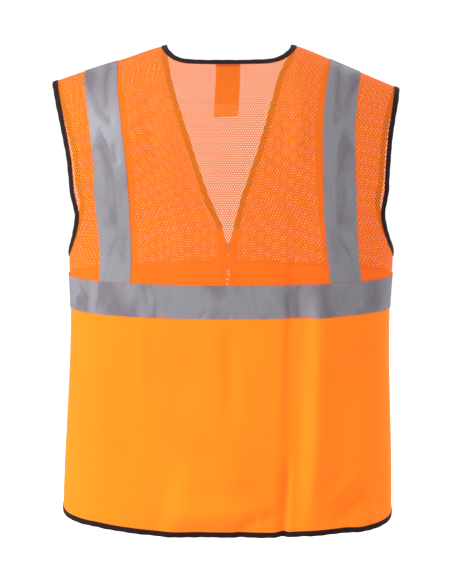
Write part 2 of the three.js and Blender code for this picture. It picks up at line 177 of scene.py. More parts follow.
BACK_DRAPE = Drape(
    folds=(
        # The long valley right of the middle, and the sharper one that carries it on to the hem.
        Fold((0.094, -0.25), (0.088, -0.66), 0.012, -0.0034, 0.45),
        Fold((0.091, -0.6), (0.085, -0.76), 0.0065, -0.0085, -0.4, True),
        # A broad swell above the hem, and two small dents between it and the valley.
        Fold((-0.12, -0.655), (0.06, -0.65), 0.035, 0.006),
        Fold((0.005, -0.732), (0.052, -0.704), 0.009, -0.007),
        Fold((0.046, -0.708), (0.086, -0.703), 0.008, -0.0045),
        # The long ridge where the cloth turns away on the right.
        Fold((0.136, -0.3), (0.127, -0.78), 0.021, 0.015, 0.4),
        # Wrinkles that run up from the hem on the right.
        Fold((0.158, -0.716), (0.226, -0.655), 0.011, -0.009, 0.3),
        Fold((0.186, -0.735), (0.236, -0.688), 0.011, 0.005),
        Fold((0.14, -0.7), (0.215, -0.62), 0.013, 0.0055),
        Fold((0.224, -0.706), (0.25, -0.65), 0.012, -0.004),
        # The hem rolls in between the middle and the left.
        Fold((-0.12, -0.7), (0.085, -0.697), 0.02, 0.0085),
        Fold((-0.1, -0.738), (0.085, -0.738), 0.018, -0.0115),
        # Long soft folds of the plain cloth.
        Fold((-0.132, -0.39), (-0.128, -0.56), 0.011, 0.0016),
        Fold((0.002, -0.39), (0.006, -0.6), 0.012, -0.002),
        Fold((-0.215, -0.44), (-0.19, -0.62), 0.022, 0.0024),
        Fold((-0.075, -0.6), (-0.11, -0.75), 0.016, -0.0026, 0.0, True),
        # The mesh between the neck and the waist.
        Fold((-0.118, -0.03), (-0.106, -0.2), 0.013, -0.003),
        Fold((-0.085, -0.15), (-0.07, -0.34), 0.015, 0.0026),
        Fold((0.115, -0.04), (0.098, -0.19), 0.014, 0.0026),
        Fold((0.045, -0.26), (0.086, -0.34), 0.012, -0.002),
        Fold((-0.225, -0.1), (-0.212, -0.26), 0.011, 0.0018),
        # Creases pressed into the waist tape.
        Fold((-0.12, -0.351), (-0.112, -0.385), 0.0042, 0.0012),
        Fold((-0.146, -0.366), (-0.102, -0.4), 0.006, -0.001),
        Fold((-0.046, -0.402), (-0.03, -0.386), 0.0034, -0.0012),
        Fold((-0.004, -0.402), (0.006, -0.39), 0.0034, -0.001),
        Fold((0.052, -0.349), (0.078, -0.384), 0.005, 0.0014),
        Fold((0.054, -0.372), (0.088, -0.399), 0.0048, -0.0013),
        Fold((0.096, -0.352), (0.09, -0.372), 0.003, -0.0016),
        Fold((0.16, -0.366), (0.206, -0.386), 0.009, -0.0032),
        Fold((0.15, -0.35), (0.16, -0.396), 0.009, 0.0022),
        Fold((0.196, -0.398), (0.216, -0.352), 0.0052, 0.0016),
        Fold((0.222, -0.394), (0.234, -0.35), 0.0036, -0.001),
        # Creases pressed into the brace tapes.
        Fold((-0.192, -0.085), (-0.168, -0.12), 0.006, -0.0012),
        Fold((-0.168, -0.135), (-0.164, -0.175), 0.0044, -0.0016),
        Fold((-0.196, -0.15), (-0.178, -0.195), 0.006, 0.0012),
        Fold((-0.186, -0.24), (-0.16, -0.29), 0.007, 0.0012),
        Fold((0.176, -0.2), (0.17, -0.238), 0.0046, -0.0018),
        Fold((0.16, -0.186), (0.158, -0.236), 0.0052, 0.001),
        Fold((0.15, -0.258), (0.19, -0.318), 0.0048, -0.0014),
        Fold((0.166, -0.256), (0.196, -0.3), 0.005, 0.0012),
    ),
    ripple=0.00035,
    phase=0.4,
)
FRONT_DRAPE = Drape(
    folds=(
        # Long soft folds of the lower fronts.
        Fold((-0.135, -0.42), (-0.125, -0.72), 0.02, 0.0042, 0.3, True),
        Fold((0.12, -0.4), (0.132, -0.72), 0.02, 0.0042, -0.3, True),
        Fold((-0.075, -0.45), (-0.066, -0.72), 0.014, -0.0034, 0.0, True),
        Fold((0.066, -0.43), (0.06, -0.72), 0.014, -0.0034, 0.0, True),
        # The mesh below the shoulders.
        Fold((-0.125, -0.06), (-0.095, -0.24), 0.016, 0.003),
        Fold((0.125, -0.06), (0.1, -0.25), 0.016, 0.0026),
        # The lower fronts near the side seams.
        Fold((-0.21, -0.48), (-0.185, -0.66), 0.018, 0.0026),
        Fold((0.214, -0.47), (0.19, -0.68), 0.018, 0.0028),
        # Creases pressed into the brace tapes and the waist tape.
        Fold((0.15, -0.255), (0.186, -0.315), 0.0055, 0.0013),
        Fold((-0.186, -0.25), (-0.156, -0.31), 0.0055, -0.0013),
        Fold((-0.12, -0.352), (-0.098, -0.392), 0.005, -0.0012),
        Fold((0.096, -0.354), (0.118, -0.396), 0.005, 0.0013),
    ),
    ripple=0.0005,
    phase=1.9,
)


@dataclass(frozen=True)
class WornShape:
    """The outer form of the worn vest, in metres: half widths, depths, heights and cut edges."""

    underarm_half: float = 0.2485
    waist_half: float = 0.2455
    hem_half: float = 0.257
    shoulder_flare: float = 0.043
    flare_curve: float = 1.5
    back_depth: float = 0.120
    front_depth: float = 0.110
    fullness: float = 0.8
    shoulder_round: float = 0.163
    shoulder_drop: float = 0.060
    shoulder_tip_half: float = 0.2565
    underarm_height: float = -0.322
    waist_height: float = -0.410
    seam_height: float = -0.356
    side_hem_height: float = -0.705
    back_tail: float = 0.028
    front_tail: float = 0.006
    neck_half: float = 0.1015
    neck_softness: float = 0.015
    back_neck_drop: float = 0.0235
    neck_squareness: float = 6.0
    armhole_inset: float = math.radians(28.5)
    armhole_round: float = 0.076
    armhole_curve: float = 1.5
    neck_edge_start: float = 0.025
    v_end_height: float = -0.298
    v_end_half: float = 0.015
    v_curve: float = 1.25
    zip_top: float = -0.324
    zip_edge_half: float = 0.0065
    seam_gap: float = 0.0002
    slope_step: float = 0.004
    drape_depth: float = 0.04
    # How the filled vest hangs a little to one side: sideways shift against height.
    lean_in: float = 0.11
    lean_heights: tuple[float, ...] = (-0.72, -0.60, -0.37, -0.31, -0.24, -0.17, -0.12, -0.06, 0.0)
    lean_shifts: tuple[float, ...] = (-0.001, 0.001, 0.004, 0.005, 0.0025, 0.001, -0.002, -0.003, 0.002)
    # How far the armholes stand out again at their narrowest, against height.
    spread_from: float = 0.15
    spread_in: float = 0.07
    spread_heights: tuple[float, ...] = (-0.30, -0.25, -0.215, -0.17, -0.13)
    spread_shifts: tuple[float, ...] = (0.0, 0.0035, 0.0055, 0.0015, 0.0)
    # How the two sides of the V are drawn over, against height.
    v_pull_from: float = 0.10
    v_pull_out: float = 0.06
    v_pull_heights: tuple[float, ...] = (-0.295, -0.25, -0.20, -0.13, -0.05, -0.01)
    v_pull_left: tuple[float, ...] = (0.0, -0.004, -0.003, 0.0, 0.0025, 0.0)
    v_pull_right: tuple[float, ...] = (0.0, -0.006, -0.0075, -0.0075, -0.0075, 0.0)
    # How the shoulders and the hem ride up or hang down, against x.
    shoulder_sway_from: float = -0.20
    shoulder_sway_in: float = 0.12
    hem_sway_from: float = -0.50
    hem_sway_in: float = 0.19
    shoulder_sway_at: tuple[float, ...] = (-0.27, -0.215, -0.15, 0.0, 0.10, 0.17, 0.27)
    shoulder_sway: tuple[float, ...] = (0.0065, 0.0050, 0.001, 0.0, 0.0012, -0.001, -0.0035)
    hem_sway_at: tuple[float, ...] = (-0.262, -0.235, -0.20, -0.15, -0.10, 0.12, 0.18, 0.23, 0.262)
    hem_sway: tuple[float, ...] = (-0.009, -0.0035, 0.0005, 0.001, 0.0, 0.0, -0.004, -0.0115, -0.015)

    def shoulder_line(self, x: Array) -> Array:
        """Height of the shoulder seam above a point x across the vest."""
        run = self.shoulder_tip_half - self.neck_half
        along = (np.abs(x) - self.neck_half) / run
        return -self.shoulder_drop * 0.5 * (along + np.hypot(along, self.neck_softness / run))

    def half_width(self, z: Array) -> Array:
        """Half the width of the vest at height z, if the armholes were filled in."""
        rise = (z - self.underarm_height) / (-self.shoulder_drop - self.underarm_height)
        upper = self.underarm_half + self.shoulder_flare * np.maximum(rise, 0) ** self.flare_curve
        span = self.underarm_height - self.waist_height
        middle = mix(self.waist_half, self.underarm_half, smooth((z - self.waist_height) / span))
        lowest = self.side_hem_height - self.back_tail
        lower = mix(self.hem_half, self.waist_half, smooth((z - lowest) / (self.waist_height - lowest)))
        return np.where(z > self.underarm_height, upper, np.where(z > self.waist_height, middle, lower))

    def armhole_turn(self, z: Array) -> Array:
        """How far round the body the armhole's cut edge lies at height z; a right angle is the side."""
        rise = np.clip((z - self.underarm_height) / self.armhole_round, 0, 1)
        arc = (1 - (1 - rise) ** self.armhole_curve) ** (1 / self.armhole_curve)
        return RIGHT_ANGLE - self.armhole_inset * arc

    def back_neckline(self, x: Array) -> Array:
        """Height of the back neck's cut edge at x."""
        along = np.minimum(1, np.abs(x) / self.neck_half)
        return self.shoulder_line(x) - self.back_neck_drop * (1 - along**self.neck_squareness)

    def hem(self, side: Side, x: Array) -> Array:
        """Height of the hem's cut edge at x."""
        across = np.minimum(1, np.abs(x) / self.hem_half)
        tail = self.back_tail if side is Side.BACK else self.front_tail
        return self.side_hem_height - tail * (1 - across**2) ** (self.fullness / 2)

    def v_half(self, z: Array) -> Array:
        """Half the gap between the fronts' cut edges at height z: the V, then the zip."""
        fall = np.clip((-z - self.neck_edge_start) / (-self.v_end_height - self.neck_edge_start), 0, 1)
        v = mix(self.neck_half, self.v_end_half, fall**self.v_curve)
        share = np.clip((z - self.zip_top) / (self.v_end_height - self.zip_top), 0, 1)
        return np.where(z > self.v_end_height, v, mix(self.zip_edge_half, self.v_end_half, share))

    def inner_angle(self, z: Array) -> Array:
        """The angle of a front's inner edge at height z."""
        return np.arcsin(self.v_half(z) / self.half_width(z))

    def body(self, side: Side, theta: Array, drop: Array) -> Array:
        """Points at an angle round the plain body and a drop below the shoulder line."""
        z = -drop
        for _ in range(SETTLE):
            z = self.shoulder_line(self.half_width(z) * np.sin(theta)) - drop
        over = np.sqrt(np.clip(1 - (1 - np.minimum(drop / self.shoulder_round, 1)) ** 2, 0, 1))
        depth = self.back_depth if side is Side.BACK else self.front_depth
        y = side.value * depth * np.maximum(0, np.cos(theta)) ** self.fullness * over
        return np.stack([self.half_width(z) * np.sin(theta), y, z], axis=-1)

    def place(self, side: Side, theta: Array, z: Array) -> tuple[Array, Array]:
        """Places on the draped cloth.

        Args:
            side: Back or front.
            theta: Angles round the body; the side seams are at right angles.
            z: Heights on the plain body.

        Returns:
            The points and their outward normals.
        """
        theta, z = np.broadcast_arrays(theta, z)
        drop = np.maximum(0, self.shoulder_line(self.half_width(z) * np.sin(theta)) - z)
        points, normals = self.body(side, theta, drop), self.outward(side, theta, drop)
        drape = BACK_DRAPE if side is Side.BACK else FRONT_DRAPE
        calm = smooth(np.abs(points[..., 1]) / self.drape_depth)
        lift = drape.lift(points[..., 0], points[..., 2]) * calm
        points = self.hung(side, points + normals * lift[..., None])
        points[..., 1] = side.value * np.maximum(self.seam_gap, np.abs(points[..., 1]))
        return points, normals

    def outward(self, side: Side, theta: Array, drop: Array) -> Array:
        """The plain body's outward directions at an angle and a drop, from places a small step apart."""
        step = self.slope_step
        turned = drop < self.shoulder_round
        turn = np.arccos(1 - np.minimum(drop / self.shoulder_round, 1))
        below = self.shoulder_round * (1 - np.cos(turn + step))
        above = self.shoulder_round * (1 - np.cos(np.maximum(0, turn - step)))
        down = self.body(side, theta, np.where(turned, below, drop + MM))
        down = down - self.body(side, theta, np.where(turned, above, drop - MM))
        across = self.body(side, np.minimum(theta + step, RIGHT_ANGLE), drop)
        across = across - self.body(side, np.maximum(theta - step, -RIGHT_ANGLE), drop)
        normals = np.cross(down, across) * -side.value
        return normals / np.linalg.norm(normals, axis=-1, keepdims=True)

    def hung(self, side: Side, points: Array) -> Array:
        """The points of an even vest as this one hangs: a little to one side, and not quite level."""
        moved = points.copy()
        x, height = points[..., 0], points[..., 2]
        lean = np.interp(height, self.lean_heights, self.lean_shifts) * smooth(np.abs(x) / self.lean_in)
        spread = np.interp(height, self.spread_heights, self.spread_shifts) * np.sign(x)
        moved[..., 0] += lean + spread * smooth((np.abs(x) - self.spread_from) / self.spread_in)
        if side is Side.FRONT:
            left = np.interp(height, self.v_pull_heights, self.v_pull_left)
            right = np.interp(height, self.v_pull_heights, self.v_pull_right)
            near = 1 - smooth((np.abs(x) - self.v_pull_from) / self.v_pull_out)
            moved[..., 0] += np.where(x < 0, left, right) * near
        high = smooth((height - self.shoulder_sway_from) / self.shoulder_sway_in)
        low = smooth((self.hem_sway_from - height) / self.hem_sway_in)
        rise = np.interp(x, self.shoulder_sway_at, self.shoulder_sway) * high
        moved[..., 2] += rise + np.interp(x, self.hem_sway_at, self.hem_sway) * low
        return moved

    def rows(
        self, side: Side, angle_at: Field, top_at: Field, bottom_at: Field, shares: Array
    ) -> tuple[Array, Array]:
        """Places in rows between a top edge and a bottom edge.

        Args:
            side: Back or front.
            angle_at: The angle round the body at height z.
            top_at: Height of the top edge at x.
            bottom_at: Height of the bottom edge at x.
            shares: How far down from the top edge to the bottom edge each row runs.

        Returns:
            The points and normals.
        """
        zero = np.zeros(1)
        z = mix(top_at(zero), bottom_at(zero), shares)
        for _ in range(SETTLE):
            x = self.half_width(z) * np.sin(angle_at(z))
            z = mix(top_at(x), bottom_at(x), shares)
        return self.place(side, angle_at(z), z)


SHAPE = WornShape()


# ---- Grids, strips and lines of cloth ------------------------------------------------------------


@dataclass
class ClothGrid:
    """A grid of places on the cloth, with each one's coordinates on the cloth as it was cut."""

    points: Array
    normals: Array

    @cached_property
    def flat(self) -> Array:
        """Flat coordinates: across from the column nearest x = 0, up from the bottom row."""
        p = self.points
        down = np.linalg.norm(np.diff(p, axis=0), axis=-1)
        up = np.concatenate([np.cumsum(down[::-1], axis=0)[::-1], np.zeros((1, p.shape[1]))])
        column = np.gradient(p, axis=0)
        column /= np.maximum(np.linalg.norm(column, axis=-1, keepdims=True), 1e-9)
        step = np.diff(p, axis=1)
        slip = np.sum(step * (column[:, 1:] + column[:, :-1]) / 2, axis=-1)
        width = np.sqrt(np.maximum(np.sum(step**2, axis=-1) - slip**2, 0))
        across = np.concatenate([np.zeros((p.shape[0], 1)), np.cumsum(width, axis=1)], axis=1)
        middle = int(np.argmin(np.abs(p[-1, :, 0])))
        across = across - across[:, middle : middle + 1]
        return np.stack([across, up], axis=-1)

    def column(self, share: float) -> "Line":
        """The line down the grid, a share of the way from its first column to its last."""
        at = share * (self.points.shape[1] - 1)
        low = min(int(at), self.points.shape[1] - 2)
        part = at - low
        return Line(
            mix(self.points[:, low], self.points[:, low + 1], part),
            mix(self.normals[:, low], self.normals[:, low + 1], part),
        )

    def row(self, share: float) -> "Line":
        """The line across the grid, a share of the way from its first row to its last."""
        return ClothGrid(self.points.swapaxes(0, 1), self.normals.swapaxes(0, 1)).column(share)


@dataclass
class Line:
    """Points along a line on the cloth, with the cloth's normals."""

    points: Array
    normals: Array

    def even(self, step: float) -> "Line":
        """The same line with its points an even step apart."""
        run = np.concatenate([[0], np.cumsum(np.linalg.norm(np.diff(self.points, axis=0), axis=1))])
        at = np.linspace(0, run[-1], max(2, round(run[-1] / step) + 1))
        read = lambda values: np.stack([np.interp(at, run, values[:, k]) for k in range(3)], axis=1)
        return Line(read(self.points), read(self.normals))

    def moved(self, hand: float, out: float, up: float) -> "Line":
        """The line moved off sideways in the cloth by out, and along the normals by up."""
        tangent = np.gradient(self.points, axis=0)
        off = np.cross(self.normals, tangent) * hand
        off /= np.linalg.norm(off, axis=1, keepdims=True)
        return Line(self.points + off * out + self.normals * up, self.normals * (1 if up >= 0 else -1))


def new_object(name: str, mesh: Mesh, finish: "Finish | None" = None) -> Piece:
    """An object for a mesh, in the scene, with its material."""
    made = bpy.data.objects.new(name, mesh)
    bpy.context.scene.collection.objects.link(made)
    if finish:
        mesh.materials.clear()
        mesh.materials.append(finish.material)
    return made


def mesh_of(
    name: str, points: Array, faces: Sequence, flat: Array | None = None, sharp: float = 40.0
) -> Mesh:
    """A mesh from points and faces, shaded smooth up to an angle.

    Args:
        name: The mesh's name.
        points: Corner points.
        faces: Corner numbers of each face.
        flat: Flat coordinates of each point, for the UV map.
        sharp: Edges that turn by more than this many degrees stay sharp.

    Returns:
        The mesh.
    """
    mesh = bpy.data.meshes.new(name)
    numbers = faces if isinstance(faces, list) else faces.tolist()
    mesh.from_pydata(points.reshape(-1, 3).tolist(), [], numbers)
    mesh.update()
    mesh.polygons.foreach_set("use_smooth", [True] * len(mesh.polygons))
    mesh.set_sharp_from_angle(angle=math.radians(sharp))
    if flat is not None:
        corners = np.empty(len(mesh.loops), dtype=np.int32)
        mesh.loops.foreach_get("vertex_index", corners)
        layer = mesh.uv_layers.new(name=FLAT)
        layer.data.foreach_set("uv", flat.reshape(-1, 2)[corners].astype(np.float32).ravel())
    return mesh


def turn_out(mesh: Mesh) -> None:
    """Turns a closed mesh's faces outwards."""
    work = bmesh.new()
    work.from_mesh(mesh)
    bmesh.ops.recalc_face_normals(work, faces=work.faces)
    work.to_mesh(mesh)
    work.free()


def grid_faces(rows: int, columns: int, first: int = 0) -> Array:
    """Four-cornered faces over a grid of points that is stored row by row."""
    j, i = np.meshgrid(np.arange(rows - 1), np.arange(columns - 1), indexing="ij")
    a = (first + j * columns + i).ravel()
    return np.stack([a, a + 1, a + columns + 1, a + columns], axis=1)


def cloth_sheet(name: str, grid: ClothGrid, low: float, high: float, finish: "Finish") -> Piece:
    """A closed piece of cloth between two distances above a grid of places.

    Args:
        name: The piece's name.
        grid: The places.
        low: Distance of the inner face from the places.
        high: Distance of the outer face.
        finish: What it is made of.

    Returns:
        The piece.
    """
    rows, columns = grid.points.shape[:2]
    count = rows * columns
    points = np.concatenate([grid.points + grid.normals * low, grid.points + grid.normals * high])
    outer, inner = grid_faces(rows, columns, count), grid_faces(rows, columns)[:, ::-1]
    index = np.arange(count).reshape(rows, columns)
    rim = np.concatenate([index[0, :-1], index[:-1, -1], index[-1, :0:-1], index[:0:-1, 0]])
    after = np.roll(rim, -1)
    sides = np.stack([rim, after, after + count, rim + count], axis=1)
    faces = np.concatenate([outer, inner, sides])
    across = grid.points[:, 1:] - grid.points[:, :-1]
    down = grid.points[1:] - grid.points[:-1]
    facing = np.sum(np.cross(across[:-1], down[:, :-1]) * grid.normals[:-1, :-1])
    if facing < 0:
        faces = faces[:, ::-1]
    flat = np.concatenate([grid.flat.reshape(-1, 2)] * 2)
    return new_object(name, mesh_of(name, points, faces, flat), finish)


# ---- Shader nodes --------------------------------------------------------------------------------


class Graph:
    """Adds nodes to a node tree and joins them up."""

    def __init__(self, tree: NodeTree) -> None:
        """Works on one tree."""
        self.tree = tree

    def add(self, kind: str, inputs: dict | None = None, **settings) -> Node:
        """A new node.

        Args:
            kind: The node's type name.
            inputs: For each input socket, by name or number, a value or an output to join to it.
            **settings: The node's own properties.

        Returns:
            The node.
        """
        node = self.tree.nodes.new(kind)
        for key, setting in settings.items():
            setattr(node, key, setting)
        for key, value in (inputs or {}).items():
            self.feed(node.inputs[key], value)
        return node

    def out(self, kind: str, inputs: dict | None = None, **settings) -> Socket:
        """The first output of a new node."""
        return self.add(kind, inputs, **settings).outputs[0]

    def feed(self, socket: Socket, value: object) -> None:
        """Joins an output to the socket, or sets the socket's own value."""
        if isinstance(value, Socket):
            self.tree.links.new(value, socket)
        else:
            socket.default_value = value

    def math(self, operation: str, *values: object) -> Socket:
        """The result of a Math node."""
        return self.out("ShaderNodeMath", dict(enumerate(values)), operation=operation)

    def ramp(
        self, value: object, low: float, high: float, to_low: float = 0, to_high: float = 1
    ) -> Socket:
        """A value carried from one range to another, with soft ends."""
        inputs = {0: value, 1: low, 2: high, 3: to_low, 4: to_high}
        return self.out("ShaderNodeMapRange", inputs, interpolation_type="SMOOTHSTEP")


def add_inputs(tree: NodeTree, inputs: dict[str, tuple[str, object]]) -> None:
    """Adds named input sockets to a tree, each with its kind and its default."""
    for label, (kind, default) in inputs.items():
        socket = tree.interface.new_socket(label, in_out="INPUT", socket_type=kind)
        if default is not None:
            socket.default_value = default


def shader_group(name: str, inputs: dict[str, tuple[str, object]], outputs: dict[str, str]) -> tuple:
    """An empty shader node group with named sockets.

    Args:
        name: The group's name.
        inputs: Each input's kind and its default.
        outputs: Each output's kind.

    Returns:
        The group's tree, its Graph, its input node and its output node.
    """
    tree = bpy.data.node_groups.new(name, "ShaderNodeTree")
    add_inputs(tree, inputs)
    for label, kind in outputs.items():
        tree.interface.new_socket(label, in_out="OUTPUT", socket_type=kind)
    graph = Graph(tree)
    return tree, graph, graph.add("NodeGroupInput"), graph.add("NodeGroupOutput")


@dataclass(frozen=True)
class KnitPattern:
    """The knit of the solid cloth: fine upright wales crossed by shorter courses."""

    name: str = "tricot knit"

    @cached_property
    def tree(self) -> NodeTree:
        """The node group: a height, and a mask of the gaps between yarns that carries painted shade there.
        """
        tree, g, start, end = shader_group(
            self.name,
            {"Vector": (VECTOR, None), "Wales": (FLOAT, 900.0), "Courses": (FLOAT, 700.0)},
            {"Height": FLOAT, "Gaps": FLOAT},
        )
        parts = g.add("ShaderNodeSeparateXYZ", {0: start.outputs["Vector"]}).outputs
        wale = g.math("SINE", g.math("MULTIPLY", parts[0], start.outputs["Wales"]))
        course = g.math("SINE", g.math("MULTIPLY", parts[1], start.outputs["Courses"]))
        height = g.math("MULTIPLY_ADD", wale, 0.5, 0.5)
        height = g.math("MULTIPLY", height, g.math("MULTIPLY_ADD", course, 0.25, 0.75))
        g.feed(end.inputs["Height"], height)
        g.feed(end.inputs["Gaps"], g.ramp(height, 0.35, 0.0))
        return tree


@dataclass(frozen=True)
class ToneDrift:
    """Slow changes of tone over a piece, from handling, dye and dust."""

    name: str = "tone drift"

    @cached_property
    def tree(self) -> NodeTree:
        """The node group: a broad mask and a fine one, from 0 to 1."""
        tree, g, start, end = shader_group(
            self.name,
            {"Vector": (VECTOR, None), "Broad": (FLOAT, 9.0), "Fine": (FLOAT, 420.0)},
            {"Broad": FLOAT, "Fine": FLOAT},
        )
        for label, detail in (("Broad", 3.0), ("Fine", 2.0)):
            inputs = {"Vector": start.outputs["Vector"], "Scale": start.outputs[label], "Detail": detail}
            g.feed(end.inputs[label], g.ramp(g.out("ShaderNodeTexNoise", inputs), 0.3, 0.7))
        return tree


@dataclass(frozen=True)
class BeadCoat:
    """The glass-bead coat of the reflective tape: a very fine grain, with soft handling marks."""

    name: str = "bead coat"
    slant: float = math.radians(35)
    stretch: float = 0.35

    @cached_property
    def tree(self) -> NodeTree:
        """The node group: the beads' height, and a mask of smudges that run aslant."""
        tree, g, start, end = shader_group(
            self.name,
            {"Vector": (VECTOR, None), "Beads": (FLOAT, 1600.0), "Smudges": (FLOAT, 26.0)},
            {"Height": FLOAT, "Smudge": FLOAT},
        )
        source = start.outputs["Vector"]
        beads = g.out("ShaderNodeTexVoronoi", {"Vector": source, "Scale": start.outputs["Beads"]})
        turn, scale = (0.0, 0.0, self.slant), (1.0, self.stretch, 1.0)
        slant = g.out("ShaderNodeMapping", {"Vector": source, "Rotation": turn, "Scale": scale})
        inputs = {"Vector": slant, "Scale": start.outputs["Smudges"], "Detail": 4.0, "Distortion": 0.8}
        noise = g.out("ShaderNodeTexNoise", inputs)
        g.feed(end.inputs["Height"], g.math("SUBTRACT", 1.0, beads))
        g.feed(end.inputs["Smudge"], g.ramp(noise, 0.42, 0.68))
        return tree


KNIT, DRIFT, BEADS = KnitPattern(), ToneDrift(), BeadCoat()


@dataclass(frozen=True)
class Finish:
    """One material of the vest, with its tones, how rough it is, and how much painted light it glows with.
    """

    name: str
    light: Tone
    deep: Tone
    roughness: float
    bump: float = 0.2
    metallic: float = 0.0
    sheen: float = 0.0
    # Glow is a constant emission, painted light: it keeps an orange finish bright and saturated on its
    # shaded side too; on the floor it keeps the floor evenly white.
    glow: Tone = (0.0, 0.0, 0.0)
    glow_strength: float = 0.0
    coat: float = 0.0
    specular: float = 0.35

    @cached_property
    def material(self) -> bpy.types.Material:
        """The material, built once."""
        made = bpy.data.materials.new(self.name)
        made.use_nodes = True
        made.node_tree.nodes.clear()
        made.diffuse_color = (*self.light, 1.0)
        g = Graph(made.node_tree)
        shader = g.add(
            "ShaderNodeBsdfPrincipled",
            {
                "Metallic": self.metallic,
                "Sheen Weight": self.sheen,
                "Sheen Roughness": 0.6,
                "Emission Strength": self.glow_strength,
                "Coat Weight": self.coat,
                "Specular IOR Level": self.specular,
            },
        )
        g.add("ShaderNodeOutputMaterial", {"Surface": shader.outputs[0]}, is_active_output=True)
        g.feed(shader.inputs["Emission Color"], (*self.glow, 1.0))
        self.pattern(g, shader)
        return made

    def group(self, g: Graph, tree: NodeTree, **inputs: object) -> Node:
        """A node group placed in the material with its own values."""
        node = g.add("ShaderNodeGroup", node_tree=tree)
        for label, value in inputs.items():
            g.feed(node.inputs[label], value)
        return node

    def tones(self, g: Graph, mask: object) -> Socket:
        """The colour between the light and the deep tone."""
        node = g.add("ShaderNodeMix", data_type="RGBA")
        g.feed(node.inputs[0], mask)
        g.feed(node.inputs[6], (*self.light, 1.0))
        g.feed(node.inputs[7], (*self.deep, 1.0))
        return node.outputs[2]

    def relief(self, g: Graph, shader: Node, height: object, distance: float) -> None:
        """A bump on the shader's normal."""
        inputs = {"Height": height, "Strength": self.bump, "Distance": distance}
        g.feed(shader.inputs["Normal"], g.out("ShaderNodeBump", inputs))

    def rough(self, g: Graph, shader: Node, mask: object, low: float, high: float) -> None:
        """A roughness that changes between two shares of the finish's own."""
        rough = g.ramp(mask, 0, 1, self.roughness * low, self.roughness * high)
        g.feed(shader.inputs["Roughness"], rough)

    def pattern(self, g: Graph, shader: Node) -> None:
        """A fine even grain, for moulded and cast pieces."""
        place = g.add("ShaderNodeTexCoord").outputs["Object"]
        drift = self.group(g, DRIFT.tree, Vector=place, Broad=60.0, Fine=2500.0)
        g.feed(shader.inputs["Base Color"], self.tones(g, drift.outputs["Broad"]))
        self.rough(g, shader, drift.outputs["Broad"], 0.85, 1.15)
        self.relief(g, shader, drift.outputs["Fine"], 0.05 * MM)


@dataclass(frozen=True)
class KnitFinish(Finish):
    """A knitted cloth, whose wales follow the cut of the cloth."""

    wales: float = 5200.0
    courses: float = 3900.0
    gap_tone: float = 0.45
    drift_tone: float = 0.35
    yarn_relief: float = 0.12 * MM

    def pattern(self, g: Graph, shader: Node) -> None:
        """Wales, courses, painted shade in the gaps between yarns, and slow changes of tone."""
        flat = g.out("ShaderNodeUVMap", uv_map=FLAT)
        knit = self.group(g, KNIT.tree, Vector=flat, Wales=self.wales, Courses=self.courses)
        place = g.add("ShaderNodeTexCoord").outputs["Object"]
        drift = self.group(g, DRIFT.tree, Vector=place, Broad=7.0, Fine=900.0)
        # The gaps between yarns take on the deep tone: painted shade in the hollows of the knit.
        depth = g.math("MULTIPLY", knit.outputs["Gaps"], self.gap_tone)
        depth = g.math("MULTIPLY_ADD", drift.outputs["Broad"], self.drift_tone, depth)
        g.feed(shader.inputs["Base Color"], self.tones(g, depth))
        self.rough(g, shader, drift.outputs["Fine"], 0.9, 1.08)
        height = g.math("MULTIPLY_ADD", drift.outputs["Fine"], 0.25, knit.outputs["Height"])
        self.relief(g, shader, height, self.yarn_relief)


@dataclass(frozen=True)
class TapeFinish(Finish):
    """Reflective tape, with its grain of beads and handling marks."""

    smudge_height: float = 0.6
    bead_relief: float = 0.06 * MM

    def pattern(self, g: Graph, shader: Node) -> None:
        """Beads and smudges along the tape."""
        flat = g.out("ShaderNodeUVMap", uv_map=FLAT)
        coat = self.group(g, BEADS.tree, Vector=flat)
        g.feed(shader.inputs["Base Color"], self.tones(g, coat.outputs["Smudge"]))
        self.rough(g, shader, coat.outputs["Smudge"], 0.9, 1.2)
        height = g.math("MULTIPLY_ADD", coat.outputs["Smudge"], self.smudge_height, coat.outputs["Height"])
        self.relief(g, shader, height, self.bead_relief)


# The orange cloths, zip tape, teeth and thread glow: painted light that keeps their orange bright in shade.
SOLID_CLOTH = KnitFinish(
    "solid orange cloth", (1.0, 0.345, 0.008), (1.0, 0.28, 0.006), 0.8, 0.35,
    sheen=0.03, glow=(1.0, 0.045, 0.02), glow_strength=0.42, specular=0.1,
)
NET_CLOTH = KnitFinish(
    "orange mesh", (0.55, 0.245, 0.014), (0.50, 0.19, 0.01), 0.85, 0.3,
    sheen=0.02, glow=(1.0, 0.03, 0.01), glow_strength=0.5, wales=9000.0, courses=9000.0, specular=0.08,
)
TAPE = TapeFinish(
    "silver reflective tape", (0.345, 0.333, 0.372), (0.24, 0.208, 0.245), 0.5, 0.25, metallic=0.1,
)
BINDING = KnitFinish(
    "black binding", (0.03, 0.012, 0.014), (0.014, 0.006, 0.007), 0.75, 0.5, sheen=0.04, specular=0.15,
)
ZIP_CLOTH = KnitFinish(
    "orange zip tape", (0.95, 0.2, 0.02), (0.8, 0.13, 0.012), 0.75, 0.5,
    glow=(1.0, 0.05, 0.02), glow_strength=0.25,
)
MOULDED = Finish(
    "moulded orange teeth", (0.95, 0.2, 0.02), (0.85, 0.15, 0.015), 0.36, 0.2,
    glow=(1.0, 0.05, 0.02), glow_strength=0.2, coat=0.15,
)
CAST = Finish("cast slider metal", (0.52, 0.52, 0.54), (0.42, 0.42, 0.44), 0.32, 0.25, metallic=0.9)
# The label hangs behind the orange mesh; its red-orange tone is painted shade and painted orange light from
# the mesh on a pale label.
LABEL = KnitFinish("woven label", (0.80, 0.16, 0.05), (0.70, 0.10, 0.03), 0.66, 0.35)
THREAD = Finish(
    "orange thread", (0.95, 0.24, 0.06), (0.9, 0.17, 0.04), 0.6, 0.4,
    glow=(1.0, 0.06, 0.03), glow_strength=0.15,
)
DARK_THREAD = Finish("dark thread", (0.05, 0.025, 0.03), (0.03, 0.015, 0.02), 0.6, 0.4)


# ---- Geometry node trees -------------------------------------------------------------------------


